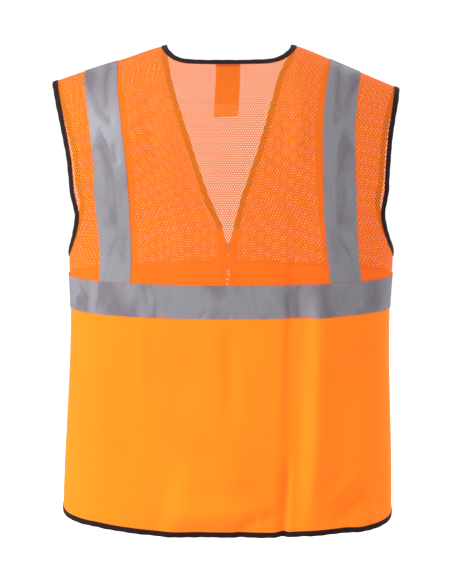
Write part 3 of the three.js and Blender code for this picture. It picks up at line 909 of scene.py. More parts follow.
def geometry_tree(name: str, inputs: dict[str, tuple[str, object]]) -> tuple:
    """An empty geometry node tree with a geometry input, named inputs and a geometry output.

    Args:
        name: The tree's name.
        inputs: Each input's kind and its default.

    Returns:
        The tree, its Graph and its input node.
    """
    tree = bpy.data.node_groups.new(name, "GeometryNodeTree")
    tree.interface.new_socket("Geometry", in_out="INPUT", socket_type="NodeSocketGeometry")
    add_inputs(tree, inputs)
    tree.interface.new_socket("Geometry", in_out="OUTPUT", socket_type="NodeSocketGeometry")
    graph = Graph(tree)
    return tree, graph, graph.add("NodeGroupInput")


def end_tree(g: Graph, geometry: Socket, material: Socket) -> None:
    """Gives the tree's geometry its material and puts it out."""
    dressed = g.out("GeometryNodeSetMaterial", {"Geometry": geometry, "Material": material})
    g.add("NodeGroupOutput", {0: dressed})


def laid_out(g: Graph, points: Socket, piece: Socket, **more: object) -> Socket:
    """A piece set on every point, as real geometry; more are further inputs of the instances."""
    placed = g.out("GeometryNodeInstanceOnPoints", {"Points": points, "Instance": piece} | more)
    return g.out("GeometryNodeRealizeInstances", {0: placed})


def moved_by(g: Graph, geometry: Socket, **inputs: object) -> Socket:
    """Geometry moved, turned or scaled, by Translation, Rotation or Scale."""
    return g.out("GeometryNodeTransform", {"Geometry": geometry} | inputs)


def run_tree(source: Piece, tree: NodeTree, values: dict[str, object], name: str) -> Piece:
    """The mesh that a tree makes from an object, as a new object.

    Args:
        source: The object that the tree starts from. It is removed.
        tree: The tree.
        values: Its named inputs.
        name: The new object's name.

    Returns:
        The new object.
    """
    modifier = source.modifiers.new("made", "NODES")
    modifier.node_group = tree
    sockets = {s.name: s.identifier for s in tree.interface.items_tree if s.in_out == "INPUT"}
    for label, value in values.items():
        modifier[sockets[label]] = value
    depsgraph = bpy.context.evaluated_depsgraph_get()
    mesh = bpy.data.meshes.new_from_object(source.evaluated_get(depsgraph))
    mesh.name = name
    source.modifiers.remove(modifier)
    bpy.data.objects.remove(source)
    return new_object(name, mesh)


@dataclass(frozen=True)
class OpenNet:
    """The open mesh: six-sided holes in offset rows, knitted over the cloth's surface."""

    hole_spacing: float = 3.7 * MM
    row_spacing: float = 3.3 * MM
    hole_share: float = 0.44
    edge_cover: float = 5.5 * MM
    merge: float = 0.02 * MM

    @cached_property
    def tree(self) -> NodeTree:
        """The tree: one ring per hole, merged into a net, then laid on the cloth."""
        tree, g, start = geometry_tree(
            "open net",
            {
                "Cloth": (OBJECT, None),
                "Corner": (VECTOR, None),
                "Columns": (INTEGER, 10),
                "Rows": (INTEGER, 10),
                "Hole Spacing": (FLOAT, self.hole_spacing),
                "Row Spacing": (FLOAT, self.row_spacing),
                "Hole Share": (FLOAT, self.hole_share),
                "Edge Cover": (FLOAT, self.edge_cover),
                "Material": (MATERIAL, None),
            },
        )
        read = start.outputs
        net = self.lattice(g, read)
        spot = g.out("GeometryNodeInputPosition")
        uv = {"Geometry": net, "Name": FLAT, "Value": spot}
        named = g.out("GeometryNodeStoreNamedAttribute", uv, data_type="FLOAT2", domain="CORNER")
        cloth = g.add("GeometryNodeObjectInfo", {"Object": read["Cloth"]}).outputs["Geometry"]
        position = g.out("GeometryNodeInputPosition")
        place, valid = self.sampled(g, cloth, spot, position, "FLOAT_VECTOR")
        inset = g.out("GeometryNodeInputNamedAttribute", {"Name": INSET}, data_type="FLOAT")
        deep, _ = self.sampled(g, cloth, spot, inset, "FLOAT")
        outside = g.math("LESS_THAN", deep, g.math("MULTIPLY", read["Edge Cover"], -1.0))
        drop = g.math("MAXIMUM", outside, g.math("SUBTRACT", 1.0, valid))
        keep = {"Geometry": named, "Name": "drop", "Value": drop}
        marked = g.out("GeometryNodeStoreNamedAttribute", keep, data_type="FLOAT", domain="POINT")
        moved = g.out("GeometryNodeSetPosition", {"Geometry": marked, "Position": place})
        mark = g.out("GeometryNodeInputNamedAttribute", {"Name": "drop"}, data_type="FLOAT")
        gone = {"Geometry": moved, "Selection": g.math("GREATER_THAN", mark, 0.5)}
        cut = g.out("GeometryNodeDeleteGeometry", gone, domain="POINT")
        clean = g.out("GeometryNodeRemoveAttribute", {"Geometry": cut, "Name": "drop"})
        end_tree(g, clean, read["Material"])
        return tree

    def lattice(self, g: Graph, read: Sockets) -> Socket:
        """The flat net: a ring on every point of the offset rows, merged where they meet."""
        step_x, step_y = read["Hole Spacing"], read["Row Spacing"]
        size_x = g.math("MULTIPLY", g.math("SUBTRACT", read["Columns"], 1.0), step_x)
        size_y = g.math("MULTIPLY", g.math("SUBTRACT", read["Rows"], 1.0), step_y)
        counts = {"Vertices X": read["Columns"], "Vertices Y": read["Rows"]}
        points = g.out("GeometryNodeMeshGrid", {"Size X": size_x, "Size Y": size_y} | counts)
        row = g.math("FLOORED_MODULO", g.out("GeometryNodeInputIndex"), read["Rows"])
        shift = g.math("MULTIPLY", g.math("MULTIPLY", g.math("FLOORED_MODULO", row, 2.0), step_x), 0.5)
        half_x, half_y = g.math("MULTIPLY", size_x, 0.5), g.math("MULTIPLY", size_y, 0.5)
        offset = g.out("ShaderNodeCombineXYZ", {0: g.math("ADD", half_x, shift), 1: half_y})
        to_corner = g.out("ShaderNodeVectorMath", {0: offset, 1: read["Corner"]}, operation="ADD")
        laid = g.out("GeometryNodeSetPosition", {"Geometry": points, "Offset": to_corner})
        rings = laid_out(g, laid, self.ring(g, read))
        return g.out("GeometryNodeMergeByDistance", {0: rings, "Distance": self.merge})

    def ring(self, g: Graph, read: Sockets) -> Socket:
        """One hole with its share of the strands round it."""
        radius = g.math("DIVIDE", read["Hole Spacing"], math.sqrt(3))
        disc = g.out("GeometryNodeMeshCircle", {"Vertices": 6, "Radius": radius}, fill_type="NGON")
        tall = g.math("DIVIDE", read["Row Spacing"], g.math("MULTIPLY", radius, 1.5))
        scale = g.out("ShaderNodeCombineXYZ", {0: 1.0, 1: tall, 2: 1.0})
        sized = moved_by(g, moved_by(g, disc, Rotation=(0, 0, math.pi / 6)), Scale=scale)
        inner = g.add("GeometryNodeExtrudeMesh", {"Mesh": sized, "Offset Scale": 0.0}, mode="FACES").outputs
        hole = {"Geometry": inner["Mesh"], "Selection": inner["Top"], "Scale": read["Hole Share"]}
        shrunk = g.out("GeometryNodeScaleElements", hole)
        opened = {"Geometry": shrunk, "Selection": inner["Top"]}
        return g.out("GeometryNodeDeleteGeometry", opened, domain="FACE")

    def sampled(self, g: Graph, cloth: object, spot: object, value: object, kind: str) -> tuple:
        """A value read off the cloth at a flat place, and whether the place is on the cloth."""
        flat = g.out("GeometryNodeInputNamedAttribute", {"Name": FLAT}, data_type="FLOAT_VECTOR")
        node = g.add("GeometryNodeSampleUVSurface", data_type=kind)
        sockets = [s for s in node.inputs if s.enabled]
        for socket, source in zip(sockets, (cloth, value, flat, spot), strict=True):
            g.feed(socket, source)
        outputs = [s for s in node.outputs if s.enabled]
        return outputs[0], outputs[1]

    def knit(
        self, name: str, grid: ClothGrid, edges: list["CutEdge"], finish: Finish, upright: bool
    ) -> Piece:
        """A net over a grid of cloth, open to the cut edges.

        Args:
            name: The piece's name.
            grid: Places on the whole cloth, past the cut edges too.
            edges: The cut edges that a binding will cover.
            finish: What the net is made of.
            upright: Whether the rows of holes run up the cloth, as the fronts are cut.

        Returns:
            The net as a mesh object.
        """
        rows, columns = grid.points.shape[:2]
        flat = grid.flat[..., ::-1] if upright else grid.flat
        mesh = mesh_of(name + "_cloth", grid.points, grid_faces(rows, columns), flat)
        inset = np.full(rows * columns, 1.0)
        for edge in edges:
            inset = np.minimum(inset, edge.inset(grid.points.reshape(-1, 3)))
        layer = mesh.attributes.new(INSET, "FLOAT", "POINT")
        layer.data.foreach_set("value", inset.astype(np.float32))
        cloth = new_object(name + "_cloth", mesh)
        low, high = flat.reshape(-1, 2).min(axis=0), flat.reshape(-1, 2).max(axis=0)
        start = new_object(name + "_start", bpy.data.meshes.new(name + "_start"))
        pair = np.array([self.hole_spacing, 2 * self.row_spacing])
        first = np.floor(low / pair) * pair
        made = run_tree(start, self.tree, {
            "Cloth": cloth,
            "Corner": (float(first[0]), float(first[1]), 0.0),
            "Columns": int((high[0] - first[0]) / self.hole_spacing) + 2,
            "Rows": int((high[1] - first[1]) / self.row_spacing) + 2,
            "Material": finish.material,
        }, name)
        bpy.data.objects.remove(cloth)
        return made


@dataclass
class CutEdge:
    """A cut edge of the cloth: its line, and which way off it the cloth ends, 1 or -1."""

    line: Line
    hand: float
    step: float = 1.5 * MM

    def inset(self, points: Array) -> Array:
        """How far inside the edge each point lies; outside it is negative."""
        line = self.line.even(self.step)
        off = line.moved(self.hand, 1.0, 0.0).points - line.points
        tree = KDTree(len(line.points))
        for index, point in enumerate(line.points):
            tree.insert(point, index)
        tree.balance()
        found = [tree.find(point)[1:] for point in points]
        nearest, distance = np.array([f[0] for f in found]), np.array([f[1] for f in found])
        outside = np.sum((points - line.points[nearest]) * off[nearest], axis=1) > 0
        return np.where(outside, -distance, distance)


@dataclass(frozen=True)
class Stitching:
    """Rows of stitches: one small rounded stitch after another along a line."""

    length: float = 2.4 * MM
    pitch: float = 3.1 * MM
    thread: float = 0.55 * MM
    follow: float = 4.0 * MM

    @cached_property
    def tree(self) -> NodeTree:
        """The tree: stitches set along polylines and laid flat on the cloth."""
        tree, g, start = geometry_tree(
            "stitch rows",
            {
                "Stitch Length": (FLOAT, self.length),
                "Stitch Pitch": (FLOAT, self.pitch),
                "Thread Width": (FLOAT, self.thread),
                "Material": (MATERIAL, None),
            },
        )
        read = start.outputs
        curve = g.out("GeometryNodeMeshToCurve", {0: read["Geometry"]})
        every = {"Curve": curve, "Length": read["Stitch Pitch"]}
        even = g.out("GeometryNodeResampleCurve", every, mode="LENGTH")
        bead = g.out("GeometryNodeMeshIcoSphere", {"Radius": 0.5, "Subdivisions": 1})
        width = read["Thread Width"]
        size = g.out("ShaderNodeCombineXYZ", {0: read["Stitch Length"], 1: width, 2: width})
        stitch = moved_by(g, bead, Scale=size)
        tangent = g.out("GeometryNodeInputTangent")
        out = g.out("GeometryNodeInputNamedAttribute", {"Name": OUT}, data_type="FLOAT_VECTOR")
        turn = "FunctionNodeAlignRotationToVector"
        along = g.out(turn, {"Vector": tangent}, axis="X")
        flat = g.out(turn, {"Rotation": along, "Vector": out}, axis="Z", pivot_axis="X")
        real = laid_out(g, even, stitch, Rotation=flat)
        end_tree(g, g.out("GeometryNodeSetShadeSmooth", {"Geometry": real}), read["Material"])
        return tree

    def sew(self, name: str, lines: Sequence[Line], finish: Finish) -> Piece:
        """All the stitches along some lines, as one mesh.

        Args:
            name: The piece's name.
            lines: The lines, each on the face that it is sewn through.
            finish: The thread.

        Returns:
            The stitches.
        """
        points, normals, edges = [], [], []
        for line in (line.even(self.follow) for line in lines):
            first = sum(len(p) for p in points)
            count = len(line.points)
            points.append(line.points)
            normals.append(line.normals)
            edges += [(first + k, first + k + 1) for k in range(count - 1)]
        mesh = bpy.data.meshes.new(name + "_lines")
        mesh.from_pydata(np.concatenate(points).tolist(), edges, [])
        layer = mesh.attributes.new(OUT, "FLOAT_VECTOR", "POINT")
        layer.data.foreach_set("vector", np.concatenate(normals).astype(np.float32).ravel())
        source = new_object(name + "_lines", mesh)
        return run_tree(source, self.tree, {"Material": finish.material}, name)


NET = OpenNet()
FRONT_NET = OpenNet(hole_spacing=2.65 * MM, row_spacing=2.35 * MM, hole_share=0.36)
STITCHES = Stitching()


# ---- Attaching pieces to the frame ---------------------------------------------------------------


@dataclass
class Attach:
    """Sets pieces on the frame's bodies and hides the nodes that they stand for."""

    fold_start: Place = (0.0, 0.0, 0.0)
    fold_end: Place = (0.0, 0.10, 0.0)

    def on(self, piece: Piece, body: str, slot: str, *nodes: str) -> Piece:
        """A piece that rides on one body."""
        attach(piece, body)
        return self.named(piece, body, slot, nodes)

    def folding(self, piece: Piece, hand: Hand, slot: str, *nodes: str) -> Piece:
        """A piece of a front, with its transform baked in where it stands; it is not set on a body."""
        body = f"{hand.word}_front"
        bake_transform(piece)
        return self.named(piece, body, slot, nodes)

    def named(self, piece: Piece, body: str, slot: str, nodes: Sequence[str]) -> Piece:
        """Hides the nodes that the piece replaces, and logs the piece."""
        if nodes:
            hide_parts(*nodes)
        LOG.info("%s on %s, %d faces", piece.name, body, len(piece.data.polygons))
        return piece


ATTACH = Attach()


# ---- Bindings ------------------------------------------------------------------------------------


@dataclass(frozen=True)
class FoldedBinding:
    """A tape folded round a cut edge and sewn through: its section, from the edge outwards."""

    width: float = 7.8 * MM
    step: float = 2.5 * MM
    stitch_in: float = 1.2 * MM
    face: float = 1.25 * MM
    stitch_sunk: float = 0.1 * MM
    sharp: float = 60.0
    # Half of the section: distance out from the cut edge and height above the cloth, in millimetres.
    half_section: tuple[tuple[float, float], ...] = (
        (-1.0, 0.55), (-0.9, 1.0), (0.1, 1.28), (1.2, 1.08), (2.2, 1.30), (4.8, 1.36), (6.8, 1.12),
        (7.6, 0.6),
    )
    # Slight unevenness along the run: strength, radians to a metre, and how far the seed shifts it.
    width_waves: tuple[tuple[float, ...], ...] = ((0.03, 310, 1.0), (0.025, 131, 2.3))
    puff_waves: tuple[tuple[float, ...], ...] = ((0.07, 640, 1.0), (0.05, 205, 1.7))

    def uneven(self, run: Array, waves: tuple[tuple[float, ...], ...], seed: float) -> Array:
        """A factor near 1 that wavers along the run."""
        parts = (strength * np.sin(run * rate + shift * seed) for strength, rate, shift in waves)
        return sum(parts, np.ones(len(run)))

    def wrap(self, name: str, edge: Line, hand: float, seed: float) -> tuple[Piece, list[Line]]:
        """The binding along an edge.

        Args:
            name: The piece's name.
            edge: The cut edge.
            hand: Which way the binding lies off the edge, 1 or -1.
            seed: Starts the slight unevenness of its width.

        Returns:
            The binding and its two lines of stitches.
        """
        line = edge.even(self.step)
        count = len(line.points)
        half = np.array(self.half_section) * MM
        tip = np.array([[self.width, 0.0]])
        section = np.concatenate([half, tip, half[::-1] * [1, -1]])
        run = np.arange(count) * self.step
        wide = self.uneven(run, self.width_waves, seed)[:, None] * section[:, 0]
        puffed = self.uneven(run, self.puff_waves, seed)[:, None] * section[:, 1]
        off = line.moved(hand, 1.0, 0.0).points - line.points
        rings = (
            line.points[:, None]
            + off[:, None] * wide[..., None]
            + line.normals[:, None] * puffed[..., None]
        )
        size = len(section)
        j, i = np.meshgrid(np.arange(count - 1), np.arange(size), indexing="ij")
        after = (i + 1) % size
        near, far = j * size, (j + 1) * size
        sides = np.stack([near + i, near + after, far + after, far + i], axis=-1).reshape(-1, 4)
        ends = [list(range(size)), list(range((count - 1) * size, count * size))]
        around = np.cumsum(np.linalg.norm(np.diff(section, axis=0, prepend=section[:1]), axis=1))
        flat = np.stack(np.broadcast_arrays(run[:, None], around[None, :]), axis=-1)
        mesh = mesh_of(name, rings, sides.tolist() + ends, flat, self.sharp)
        turn_out(mesh)
        deep = self.face - self.stitch_sunk
        stitches = [line.moved(hand, self.stitch_in, sign * deep) for sign in (1, -1)]
        return new_object(name, mesh, BINDING), stitches


BIND = FoldedBinding()


@dataclass
class CutEdges:
    """The vest's cut edges, as lines on the cloth."""

    count: int = 400
    armhole_crowding: float = 0.9

    def shares(self) -> Array:
        """Even shares along an edge."""
        return np.linspace(0, 1, self.count)

    def back_neck(self) -> Line:
        """The back of the neck, from the wearer's left to the right."""
        x = SHAPE.neck_half * np.sin(np.linspace(-RIGHT_ANGLE, RIGHT_ANGLE, self.count))
        z = SHAPE.back_neckline(x)
        return Line(*SHAPE.place(Side.BACK, np.arcsin(x / SHAPE.half_width(z)), z))

    def armhole(self, side: Side, hand: Hand) -> Line:
        """One half of an armhole, from the shoulder to the underarm."""
        angle = lambda z: hand.value * SHAPE.armhole_turn(z)
        bottom = level(SHAPE.underarm_height)
        shares = self.shares() ** self.armhole_crowding
        return Line(*SHAPE.rows(side, angle, SHAPE.shoulder_line, bottom, shares))

    def front_neck(self, hand: Hand) -> Line:
        """One side of the V, from the shoulder to its end."""
        angle = lambda z: hand.value * SHAPE.inner_angle(z)
        bottom = level(SHAPE.v_end_height)
        return Line(*SHAPE.rows(Side.FRONT, angle, SHAPE.shoulder_line, bottom, self.shares()))

    def hem(self, side: Side, first: float, last: float) -> Line:
        """The hem between two angles round the body."""
        theta = np.linspace(first, last, self.count)
        shares, bottom = np.ones(self.count), lambda x: SHAPE.hem(side, x)
        return Line(*SHAPE.rows(side, lambda z: theta, SHAPE.shoulder_line, bottom, shares))


EDGES = CutEdges()


# ---- Tapes ---------------------------------------------------------------------------------------


@dataclass(frozen=True)
class ReflectiveTapes:
    """The reflective tapes: one round the waist, and one over each shoulder."""

    width: float = 50.8 * MM
    thickness: float = 0.5 * MM
    top: float = -0.349
    brace_low: float = 0.35 * MM
    waist_low: float = 1.0 * MM
    brace_slope: float = 1.06
    braces: tuple[tuple[Hand, Place], ...] = (
        (Hand.LEFT, (0.191, 0.175, 0.175)),
        (Hand.RIGHT, (0.178, 0.163, 0.173)),
    )
    edge_stitch: float = 2.0 * MM
    lines_across: int = 27
    brace_rows: int = 150

    def waist(self, side: Side, first: float, last: float, columns: int) -> ClothGrid:
        """Places under the waist tape between two angles round the body."""
        theta = np.linspace(first, last, columns)[None, :]
        z = np.linspace(self.top, self.top - self.width, self.lines_across)[:, None]
        return ClothGrid(*SHAPE.place(side, theta, z))

    def brace(self, side: Side, hand: Hand) -> ClothGrid:
        """Places under a brace tape, from the shoulder to below the waist tape's top edge."""
        top, middle, bottom = dict(self.braces)[hand]
        share = np.linspace(0, 1, self.brace_rows)[:, None]
        across = np.linspace(-0.5, 0.5, self.lines_across)[None, :] * self.width / self.brace_slope
        bow = (middle - (top + bottom) / 2) * 4 * share * (1 - share)
        x = mix(top, bottom, share) + bow + across
        angle = lambda z: hand.value * np.arcsin(np.clip(x / SHAPE.half_width(z), 0, 1))
        low = level(SHAPE.seam_height)
        return ClothGrid(*SHAPE.rows(side, angle, SHAPE.shoulder_line, low, share))

    def edge_lines(self, grid: ClothGrid, high: float, down: bool) -> list[Line]:
        """The lines of stitches along both long edges of a tape."""
        share = self.edge_stitch / self.width
        pick = grid.column if down else grid.row
        lines = [pick(share), pick(1 - share)]
        if down:
            keep = int(np.count_nonzero(lines[0].points[:, 2] > self.top))
            lines = [Line(line.points[:keep], line.normals[:keep]) for line in lines]
        return [line.moved(1, 0.0, high) for line in lines]


TAPES = ReflectiveTapes()


# ---- Back and fronts -----------------------------------------------------------------------------


@dataclass
class Garment:
    """What the back and the fronts have in common: panels, tapes, bindings and stitches."""

    cloth_half: float = 0.4 * MM
    hem_cover: float = 5.5 * MM
    net_columns: int = 221
    net_rows: int = 141
    net_crowding: float = 1.35
    column_count: int = 261
    row_count: int = 121
    orange_lines: list[Line] = field(default_factory=list)
    dark_lines: list[Line] = field(default_factory=list)

    def net_grid(self, side: Side, first: float, last: float, columns: int) -> ClothGrid:
        """Places on the whole upper cloth, shoulder to waist seam, between two angles."""
        theta = np.linspace(first, last, columns)[None, :]
        shares = np.linspace(0, 1, self.net_rows)[:, None] ** self.net_crowding
        bottom = level(SHAPE.seam_height)
        return ClothGrid(*SHAPE.rows(side, lambda z: theta + 0 * z, SHAPE.shoulder_line, bottom, shares))

    def lower_grid(self, side: Side, angle_at: Field, columns: int) -> ClothGrid:
        """Places on a lower panel, waist seam to just inside the hem binding."""
        shares = np.linspace(0, 1, self.row_count)[:, None]
        bottom = lambda x: SHAPE.hem(side, x) - self.hem_cover
        return ClothGrid(*SHAPE.rows(side, angle_at, level(SHAPE.seam_height), bottom, shares))

    def armhole_cut(self, side: Side, hand: Hand) -> CutEdge:
        """An armhole's cut edge on one side of the vest."""
        return CutEdge(EDGES.armhole(side, hand), -side.value * hand.value)

    def attach(self, piece: Piece, slot: str, *nodes: str) -> Piece:
        """Sets a piece on the back; a front keeps its own pieces where they are built."""
        return ATTACH.on(piece, "back", slot, *nodes)

    def panel(self, name: str, grid: ClothGrid) -> Piece:
        """A panel of solid cloth over a grid of places."""
        return cloth_sheet(name, grid, -self.cloth_half, self.cloth_half, SOLID_CLOTH)

    def tape(self, name: str, grid: ClothGrid, low: float, down: bool) -> Piece:
        """A reflective tape, attached.

        Args:
            name: What its own name and its node's name start with.
            grid: Places under it.
            low: How far its inner face lies off them.
            down: Whether it runs down the vest, as a brace does.

        Returns:
            The tape. The stitches along its edges are kept for sewing.
        """
        high = low + TAPES.thickness
        self.orange_lines += TAPES.edge_lines(grid, high, down)
        piece = cloth_sheet(f"{name}_reflector", grid, low, high, TAPE)
        return self.attach(piece, "reflective_tape", f"{name}_tape")

    def bind(self, edges: Sequence[tuple[str, Line, float]], seed: float) -> list[Piece]:
        """Bindings along cut edges, attached.

        Args:
            edges: Each edge's name, its line, and which way the binding lies off it.
            seed: Starts the unevenness of the first; the next ones count on from it.

        Returns:
            The bindings. Their stitches are kept for sewing.
        """
        bound = []
        for name, edge, way in edges:
            piece, stitches = BIND.wrap(f"{name}_folded_binding", edge, way, seed + len(bound))
            self.dark_lines += stitches
            bound.append(self.attach(piece, "binding", f"{name}_binding"))
        return bound

    def sewn(self, word: str) -> tuple[Piece, Piece]:
        """All the stitches that were kept, orange and dark, attached."""
        orange = STITCHES.sew(f"{word}_orange_stitches", self.orange_lines, THREAD)
        dark = STITCHES.sew(f"{word}_binding_stitches", self.dark_lines, DARK_THREAD)
        return self.attach(orange, "solid_cloth"), self.attach(dark, "binding")


@dataclass(frozen=True)
class SeamStrips:
    """The folded seam allowances inside the side seams and the shoulder seams."""

    half: float = 4.0 * MM
    low: float = -1.5 * MM
    high: float = -0.65 * MM
    inset: float = 2.0 * MM
    rows: int = 160
    columns: tuple[float, ...] = (1.0, 0.6, 0.25)

    def across(self, place: Callable[[Side, Array], tuple], name: str) -> Piece:
        """A strip laid over a seam, from the back round to the front.

        Args:
            place: Points and normals on one side, at angles short of the seam or drops below it.
            name: The piece's name.

        Returns:
            The strip.
        """
        parts = []
        for side in Side:
            depth = SHAPE.back_depth if side is Side.BACK else SHAPE.front_depth
            shares = np.array(self.columns) * self.half / depth
            points, normals = place(side, shares)
            order = slice(None) if side is Side.BACK else slice(None, None, -1)
            parts.append((points[:, order], normals[:, order]))
        points = np.concatenate([part[0] for part in parts], axis=1)
        normals = np.concatenate([part[1] for part in parts], axis=1)
        return cloth_sheet(name, ClothGrid(points, normals), self.low, self.high, SOLID_CLOTH)

    def side_seam(self, hand: Hand) -> Piece:
        """The strip down a side seam, from the underarm to the hem."""

        def place(side: Side, shares: Array) -> tuple[Array, Array]:
            """Places at angles just short of the side."""
            theta = hand.value * np.arccos(shares ** (1 / SHAPE.fullness))[None, :]
            top = level(SHAPE.underarm_height - self.inset)
            bottom = lambda x: SHAPE.hem(side, x)
            down = np.linspace(0, 1, self.rows)[:, None]
            return SHAPE.rows(side, lambda z: theta + 0 * z, top, bottom, down)

        return self.across(place, f"{hand.word}_side_seam_allowance")

    def shoulder_seam(self, hand: Hand) -> Piece:
        """The strip along a shoulder seam, from the neck to the armhole."""

        def place(side: Side, shares: Array) -> tuple[Array, Array]:
            """Places just below the shoulder line."""
            tip = SHAPE.shoulder_tip_half - self.inset
            x = np.linspace(SHAPE.neck_half + self.inset, tip, self.rows)[:, None]
            drop = SHAPE.shoulder_round * (1 - np.sqrt(1 - shares**2))[None, :]
            z = SHAPE.shoulder_line(x) - drop
            return SHAPE.place(side, hand.value * np.arcsin(np.minimum(x / SHAPE.half_width(z), 1)), z)

        return self.across(place, f"{hand.word}_shoulder_seam_allowance")


SEAMS = SeamStrips()


@dataclass
class Back(Garment):
    """The back: mesh above the waist, solid cloth below, tapes and bindings."""

    waist_columns: int = 301

    def net(self) -> Piece:
        """The upper panel of open mesh."""
        grid = self.net_grid(Side.BACK, -RIGHT_ANGLE, RIGHT_ANGLE, self.net_columns)
        edges = [CutEdge(EDGES.back_neck(), 1)]
        edges += [self.armhole_cut(Side.BACK, hand) for hand in Hand]
        return NET.knit("back_mesh_net", grid, edges, NET_CLOTH, False)

    def lower(self) -> Piece:
        """The lower panel of solid cloth."""
        theta = np.linspace(-RIGHT_ANGLE, RIGHT_ANGLE, self.column_count)[None, :]
        grid = self.lower_grid(Side.BACK, lambda z: theta + 0 * z, self.column_count)
        return self.panel("back_lower_cloth", grid)

    def make(self) -> None:
        """Builds the back and sets every piece on its body."""
        net = self.attach(self.net(), "mesh_cloth", "back_mesh_panel")
        lower = self.attach(self.lower(), "solid_cloth", "back_lower_panel")
        waist = TAPES.waist(Side.BACK, -RIGHT_ANGLE, RIGHT_ANGLE, self.waist_columns)
        band = self.tape("back_waist", waist, TAPES.waist_low, False)
        braces = [
            self.tape(f"{hand.word}_back_brace", TAPES.brace(Side.BACK, hand), TAPES.brace_low, True)
            for hand in Hand
        ]
        neck, hem, *armholes = self.bind([
            ("back_neck", EDGES.back_neck(), 1),
            ("back_hem", EDGES.hem(Side.BACK, -RIGHT_ANGLE, RIGHT_ANGLE), -1),
            *((f"{hand.word}_back_armhole", EDGES.armhole(Side.BACK, hand), hand.value) for hand in Hand),
        ], 1.0)
        orange, dark = self.sewn("back")
        shoulders = [self.attach(SEAMS.shoulder_seam(hand), "solid_cloth") for hand in Hand]
        sides = [self.attach(SEAMS.side_seam(hand), "solid_cloth") for hand in Hand]
        round(mesh_area(net), 4)
        round(mesh_area(lower) / 2, 4)


def mesh_area(piece: Piece) -> float:
    """The area of all of a piece's faces."""
    areas = np.empty(len(piece.data.polygons))
    piece.data.polygons.foreach_get("area", areas)
    return float(areas.sum())


@dataclass
class Front(Garment):
    """One front: mesh above the waist, solid cloth below, tapes and bindings."""

    hand: Hand = Hand.LEFT
    tape_end_half: float = 8.0 * MM
    zip_stitch: float = 0.012
    waist_columns: int = 151
    edge_points: int = 60

    def attach(self, piece: Piece, slot: str, *nodes: str) -> Piece:
        """Keeps a piece of this front where it is built, its transform baked in."""
        return ATTACH.folding(piece, self.hand, slot, *nodes)

    def net(self) -> Piece:
        """The upper panel of open mesh, from the V to the armhole."""
        count = self.net_columns // 2 + 1
        grid = self.net_grid(Side.FRONT, 0.0, self.hand.value * RIGHT_ANGLE, count)
        neck = EDGES.front_neck(self.hand)
        z = np.linspace(SHAPE.v_end_height, SHAPE.seam_height, self.edge_points)
        below = Line(*SHAPE.place(Side.FRONT, self.hand.value * SHAPE.inner_angle(z), z))
        points = np.concatenate([neck.points, below.points[1:]])
        edge = Line(points, np.concatenate([neck.normals, below.normals[1:]]))
        edges = [CutEdge(edge, self.hand.value), self.armhole_cut(Side.FRONT, self.hand)]
        return FRONT_NET.knit(f"{self.hand.word}_front_mesh_net", grid, edges, NET_CLOTH, True)

    def lower(self) -> Piece:
        """The lower panel of solid cloth, from the zip to the side seam."""
        count = self.column_count // 2 + 1
        across = np.linspace(0, 1, count)[None, :]

        def angle(z: Array) -> Array:
            """Angles from the zip's edge to the side seam at height z."""
            inner = np.arcsin(SHAPE.zip_edge_half / SHAPE.half_width(z))
            return self.hand.value * mix(inner, RIGHT_ANGLE, across)

        grid = self.lower_grid(Side.FRONT, angle, count)
        self.orange_lines.append(grid.column(self.zip_stitch).moved(1, 0.0, self.cloth_half))
        return self.panel(f"{self.hand.word}_front_lower_cloth", grid)

    def make(self) -> None:
        """Builds the front and keeps every piece where it is built."""
        word, way = f"{self.hand.word}_front", self.hand.value
        net = self.attach(self.net(), "mesh_cloth", f"{word}_mesh_panel")
        lower = self.attach(self.lower(), "solid_cloth", f"{word}_lower_panel")
        inner = way * math.asin(self.tape_end_half / SHAPE.waist_half)
        waist = TAPES.waist(Side.FRONT, inner, way * RIGHT_ANGLE, self.waist_columns)
        band = self.tape(f"{word}_waist", waist, TAPES.waist_low, False)
        brace = self.tape(f"{word}_brace", TAPES.brace(Side.FRONT, self.hand), TAPES.brace_low, True)
        first = way * math.asin(SHAPE.zip_edge_half / SHAPE.hem_half)
        neck, armhole, hem = self.bind([
            (f"{word}_neck", EDGES.front_neck(self.hand), way),
            (f"{word}_armhole", EDGES.armhole(Side.FRONT, self.hand), -way),
            (f"{word}_hem", EDGES.hem(Side.FRONT, first, way * RIGHT_ANGLE), way),
        ], 5.0)
        orange, dark = self.sewn(word)
        round(mesh_area(net), 4)
        round(mesh_area(lower) / 2, 4)


# ---- Zip -----------------------------------------------------------------------------------------


def box_of(node: str) -> tuple[Array, Array]:
    """The lowest and highest corner of a node, as arrays."""
    low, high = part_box(node)
    return np.array(low), np.array(high)


def rounded(low: Sequence[float], high: Sequence[float], radius: float, steps: int = 5) -> Array:
    """The outline of a rectangle with round corners, each made of a number of points."""
    corners = [(high[0], high[1], 0), (low[0], high[1], 1), (low[0], low[1], 2), (high[0], low[1], 3)]
    points = []
    for x, z, turn in corners:
        cx = x - math.copysign(radius, x - (low[0] + high[0]) / 2)
        cz = z - math.copysign(radius, z - (low[1] + high[1]) / 2)
        for angle in np.linspace(turn, turn + 1, steps) * RIGHT_ANGLE:
            points.append((cx + radius * math.cos(angle), cz + radius * math.sin(angle)))
    return np.array(points)


